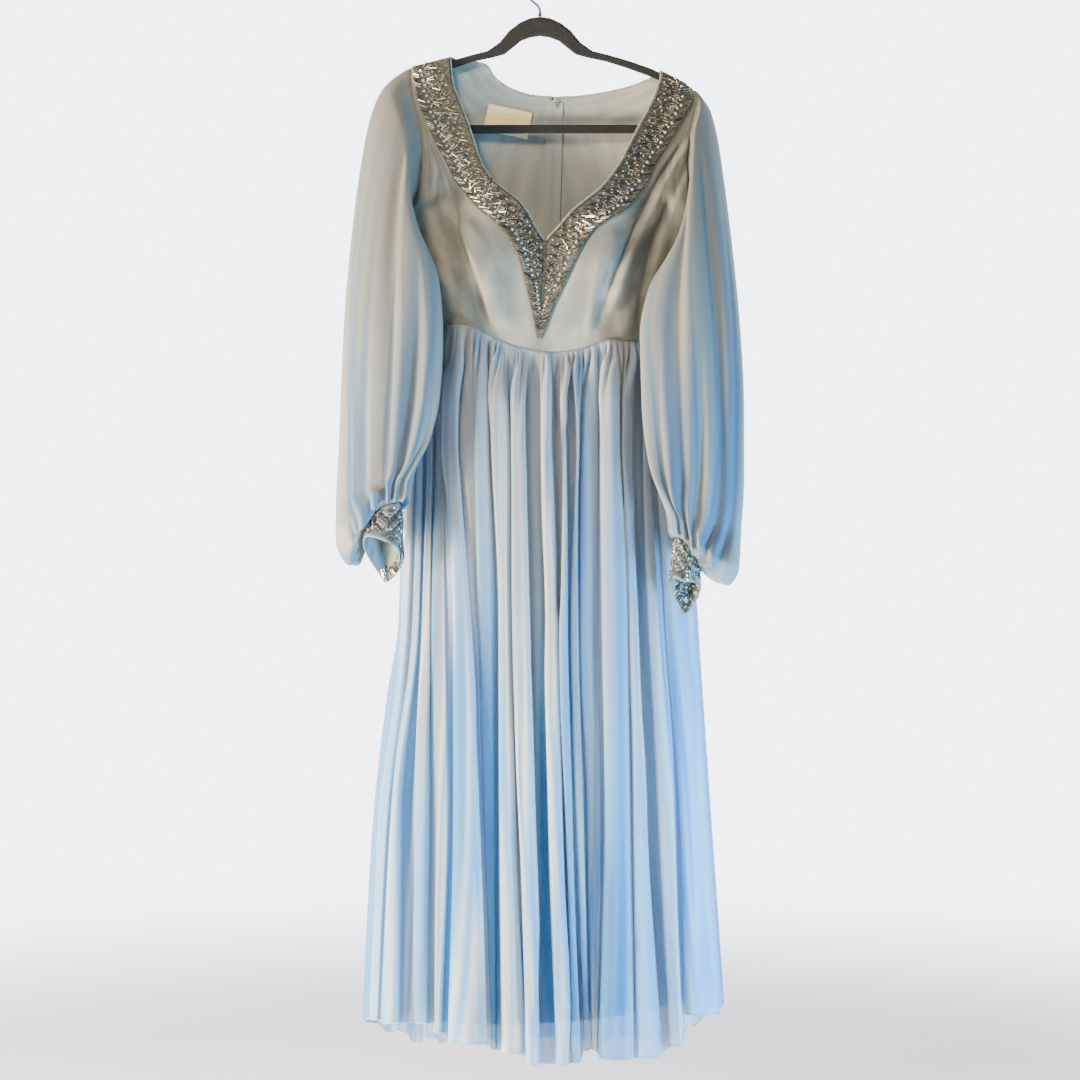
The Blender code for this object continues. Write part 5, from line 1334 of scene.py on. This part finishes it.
label = {
    "size": (60, 36), "grid": (26, 42), "at": (-42.5, -199), "turn": -12, "wall": 0.45,
    # how far it stands off the cloth, the height of its bulge and of its corners' curl
    "lift": 1.35, "bulge": 0.5, "curl": 0.3,
    # its stitches: their spacing, distance from the edge, length and radius
    "pitch": 2.6, "edge": 1.6, "stitch": 1.7, "thread": 0.22,
}
wide, tall = label["size"]
turn = math.radians(label["turn"])
rows, columns = label["grid"]
u, v = np.meshgrid(np.linspace(-0.5, 0.5, columns) * wide, np.linspace(0.5, -0.5, rows) * tall)
corner = (np.abs(u) * 2 / wide) ** 6 * (np.abs(v) * 2 / tall) ** 6
seenX = label["at"][0] + u * math.cos(turn) - v * math.sin(turn)
seenZ = label["at"][1] + u * math.sin(turn) + v * math.cos(turn)
flat = realPlace(seenX, seenZ, 10 + 0 * u)
# it lies on the back's cloth: the nearest of its points, then evened out, with a slight bulge and lifted corners
surface = backReal[0].reshape(-1, 3)
near = sum((surface[:, None, k] - flat[..., k].ravel()) ** 2 for k in (0, 2)).argmin(0)
flat[..., 1] = surface[near, 1].reshape(u.shape)
for _ in range(6):
    padded = np.pad(flat[..., 1], 1, mode="edge")
    beside = padded[:-2, 1:-1] + padded[2:, 1:-1] + padded[1:-1, :-2] + padded[1:-1, 2:]
    flat[..., 1] = (beside + 4 * flat[..., 1]) / 8
bulge = label["bulge"] * np.cos(u / 11) ** 2 * np.cos(v / 20)
flat[..., 1] -= label["lift"] + bulge - label["curl"] * corner
# Woven satin label: close floats across it give a soft cream gleam.
labelSatin = wovenCloth("woven satin label", ("e3d092", "eedda8", "f5e8bf"), (30, 1), thread=0.8, rough=0.42,
                        sheen=0.15, relief=0.08)
labelPiece = addCloth("labelCloth", [flat], labelSatin, "label", label["wall"])

# stitches as (u, v, whether it runs up the label), in pairs at opposite edges
stitches = []
edgeU, edgeV = wide / 2 - label["edge"], tall / 2 - label["edge"]
for s in np.arange(2 - wide / 2, wide / 2 - 1, label["pitch"]):
    stitches += [(s, edgeV, 0), (s, -edgeV, 0)]
for s in np.arange(3 - tall / 2, tall / 2 - 2, label["pitch"]):
    stitches += [(-edgeU, s, 1), (edgeU, s, 1)]
stitches = np.array(stitches)
column = np.round((stitches[:, 0] / wide + 0.5) * (columns - 1)).astype(int)
row = np.round((0.5 - stitches[:, 1] / tall) * (rows - 1)).astype(int)
place = flat[row, column] + (0, -0.35, 0)
sideways, upwards = [[math.cos(turn), 0, math.sin(turn)]], [[-math.sin(turn), 0, math.cos(turn)]]
way = np.where(stitches[:, 2:] > 0, upwards, sideways)
# Spun polyester thread.
threadCloth = wovenCloth("sewing thread", ("9aa7ae", "a9b5bb", "b8c2c7"), (3, 3), thread=0.8, relief=0.05)
up = np.tile([0, -1.0, 0], (len(place), 1))
stitchMesh = prisms("labelStitches", place, way, up, label["stitch"], label["thread"], 5)
addPiece("labelStitches", stitchMesh, threadCloth)


# Hanger

# Nylon flock on plastic: short upright fibres, black and nearly without a gleam.
flock, nodes = newMaterial("black nylon flock")
place = addNode(nodes, "ShaderNodeTexCoord").outputs["Object"]
pile = addNode(nodes, "ShaderNodeTexNoise", Vector=place, Scale=1400.0, Detail=2.0)
patches = addNode(nodes, "ShaderNodeTexNoise", Vector=place, Scale=60.0, Detail=3.0)
stops = [(0.3, colour("060707")), (0.7, colour("0e0f10"))]
tint = addNode(nodes, "ShaderNodeValToRGB", stops=stops, _0=patches)
bump = addNode(nodes, "ShaderNodeBump", Height=pile, Strength=0.6, Distance=0.6 * millimetre)
shader = addNode(nodes, "ShaderNodeBsdfPrincipled", Base_Color=tint, Roughness=0.95, Sheen_Weight=0.05,
                 Sheen_Roughness=0.5, Normal=bump)
addNode(nodes, "ShaderNodeOutputMaterial", Surface=shader)

# these solids show as they are, with a finish of their own
for node, finish in (("hanger_frame", flock), ("hanger_hook", chromed), ("zip_slider", nickel),
                     ("zip_pull", nickel), ("zip_tape_left", zipTape), ("zip_tape_right", zipTape),
                     ("zip_chain", zipTape)):
    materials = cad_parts[node].data.materials
    materials.clear()
    materials.append(finish)


# Studio

print("setting the studio")
studio = {
    # metres: the floor's height and radius, and how far out it starts to fade
    "floor": -1.62, "radius": 3.0, "clear": 1.1,
    # the room's strength in front of the dress and behind it, and between which directions it changes
    "dim": 0.33, "bright": 5.6, "turn": (-0.1, 0.8),
}

# Paper sweep on the floor: white, and faded out towards its edge so that no line shows behind the dress.
paper, nodes = newMaterial("white paper floor")
place = addNode(nodes, "ShaderNodeTexCoord").outputs["Object"]
tooth = addNode(nodes, "ShaderNodeTexNoise", Vector=place, Scale=3.0, Detail=2.0)
stops = [(0.3, colour("f6f1ea")), (0.7, colour("fbf7f0"))]
tint = addNode(nodes, "ShaderNodeValToRGB", stops=stops, _0=tooth)
shader = addNode(nodes, "ShaderNodeBsdfPrincipled", Base_Color=tint, Roughness=0.9)
far = addNode(nodes, "ShaderNodeVectorMath", {"operation": "LENGTH"}, _0=place)
fade = addNode(nodes, "ShaderNodeMapRange", {"interpolation_type": "SMOOTHSTEP"}, Value=far.outputs["Value"],
               _1=studio["clear"], _2=studio["radius"])
clear = addNode(nodes, "ShaderNodeBsdfTransparent")
faded = addNode(nodes, "ShaderNodeMixShader", Fac=fade, _1=shader, _2=clear)
addNode(nodes, "ShaderNodeOutputMaterial", Surface=faded)
angle = np.linspace(0, 2 * np.pi, 64, endpoint=False)
reach = np.linspace(0.001, studio["radius"], 12)[:, None] / millimetre
disc = np.stack([reach * np.cos(angle), reach * np.sin(angle), 0 * reach * angle], -1)
floor = bpy.data.objects.new("floor", gridMesh("floor", [disc], closed=True))
floor.location = (0, 0, studio["floor"])
floor.data.materials.append(paper)
collection.objects.link(floor)


def softbox(name, place, aim, size, watts, code, spread=180):
    # a lamp of this width and height, in metres like its place and what it points at; spread is in degrees
    lamp = bpy.data.lights.new(name, "AREA")
    lamp.shape, lamp.size, lamp.size_y = "RECTANGLE", *size
    lamp.energy, lamp.color = watts, colour(code)[:3]
    lamp.spread = math.radians(spread)
    made = bpy.data.objects.new(name, lamp)
    made.location = place
    x, y, z = np.array(aim, float) - np.array(place, float)
    made.rotation_euler = (math.pi / 2 + math.atan2(z, math.hypot(x, y)), 0, math.atan2(y, x) - math.pi / 2)
    collection.objects.link(made)


softbox("windowLight", (-1.75, -0.8, -1.65), (-0.1, 0, -1.3), (0.7, 1.4), 600, "ffe6c8")
softbox("coolWindow", (1.05, -0.65, -1.75), (0.14, 0, -1.3), (0.5, 0.9), 64, "74ccff", 80)
softbox("topLight", (-0.7, -1.4, 0.9), (-0.05, 0, -0.4), (0.45, 0.4), 52, "ffe6c4")
world = bpy.data.worlds.new("pale room")
world.use_nodes = True
room = world.node_tree
backdrop = room.nodes["Background"]
# the room is bright behind the dress and dim in front of it, by the direction looked in
facing = addNode(room, "ShaderNodeSeparateXYZ", Vector=addNode(room, "ShaderNodeTexCoord").outputs["Generated"])
bright = addNode(room, "ShaderNodeMapRange", {"interpolation_type": "SMOOTHSTEP"}, Value=facing.outputs["Y"],
                 _1=studio["turn"][0], _2=studio["turn"][1], _3=studio["dim"], _4=studio["bright"])
stops = [(0.45, colour("c6d8f8")), (0.75, colour("f4f7ff"))]
hue = addNode(room, "ShaderNodeValToRGB", stops=stops, _0=facing.outputs["Y"])
room.links.new(hue.outputs[0], backdrop.inputs["Color"])
room.links.new(bright.outputs[0], backdrop.inputs["Strength"])
bpy.context.scene.world = world

lens = bpy.data.cameras.new("camera")
lens.lens, lens.sensor_width = camera["lens"], camera["sensor"]
shot = bpy.data.objects.new("camera", lens)
shot.location = (0, -camera["distance"] * millimetre, camera["height"] * millimetre)
shot.rotation_euler = (math.pi / 2, 0, 0)
collection.objects.link(shot)
bpy.context.scene.camera = shot

print("finished the scene")
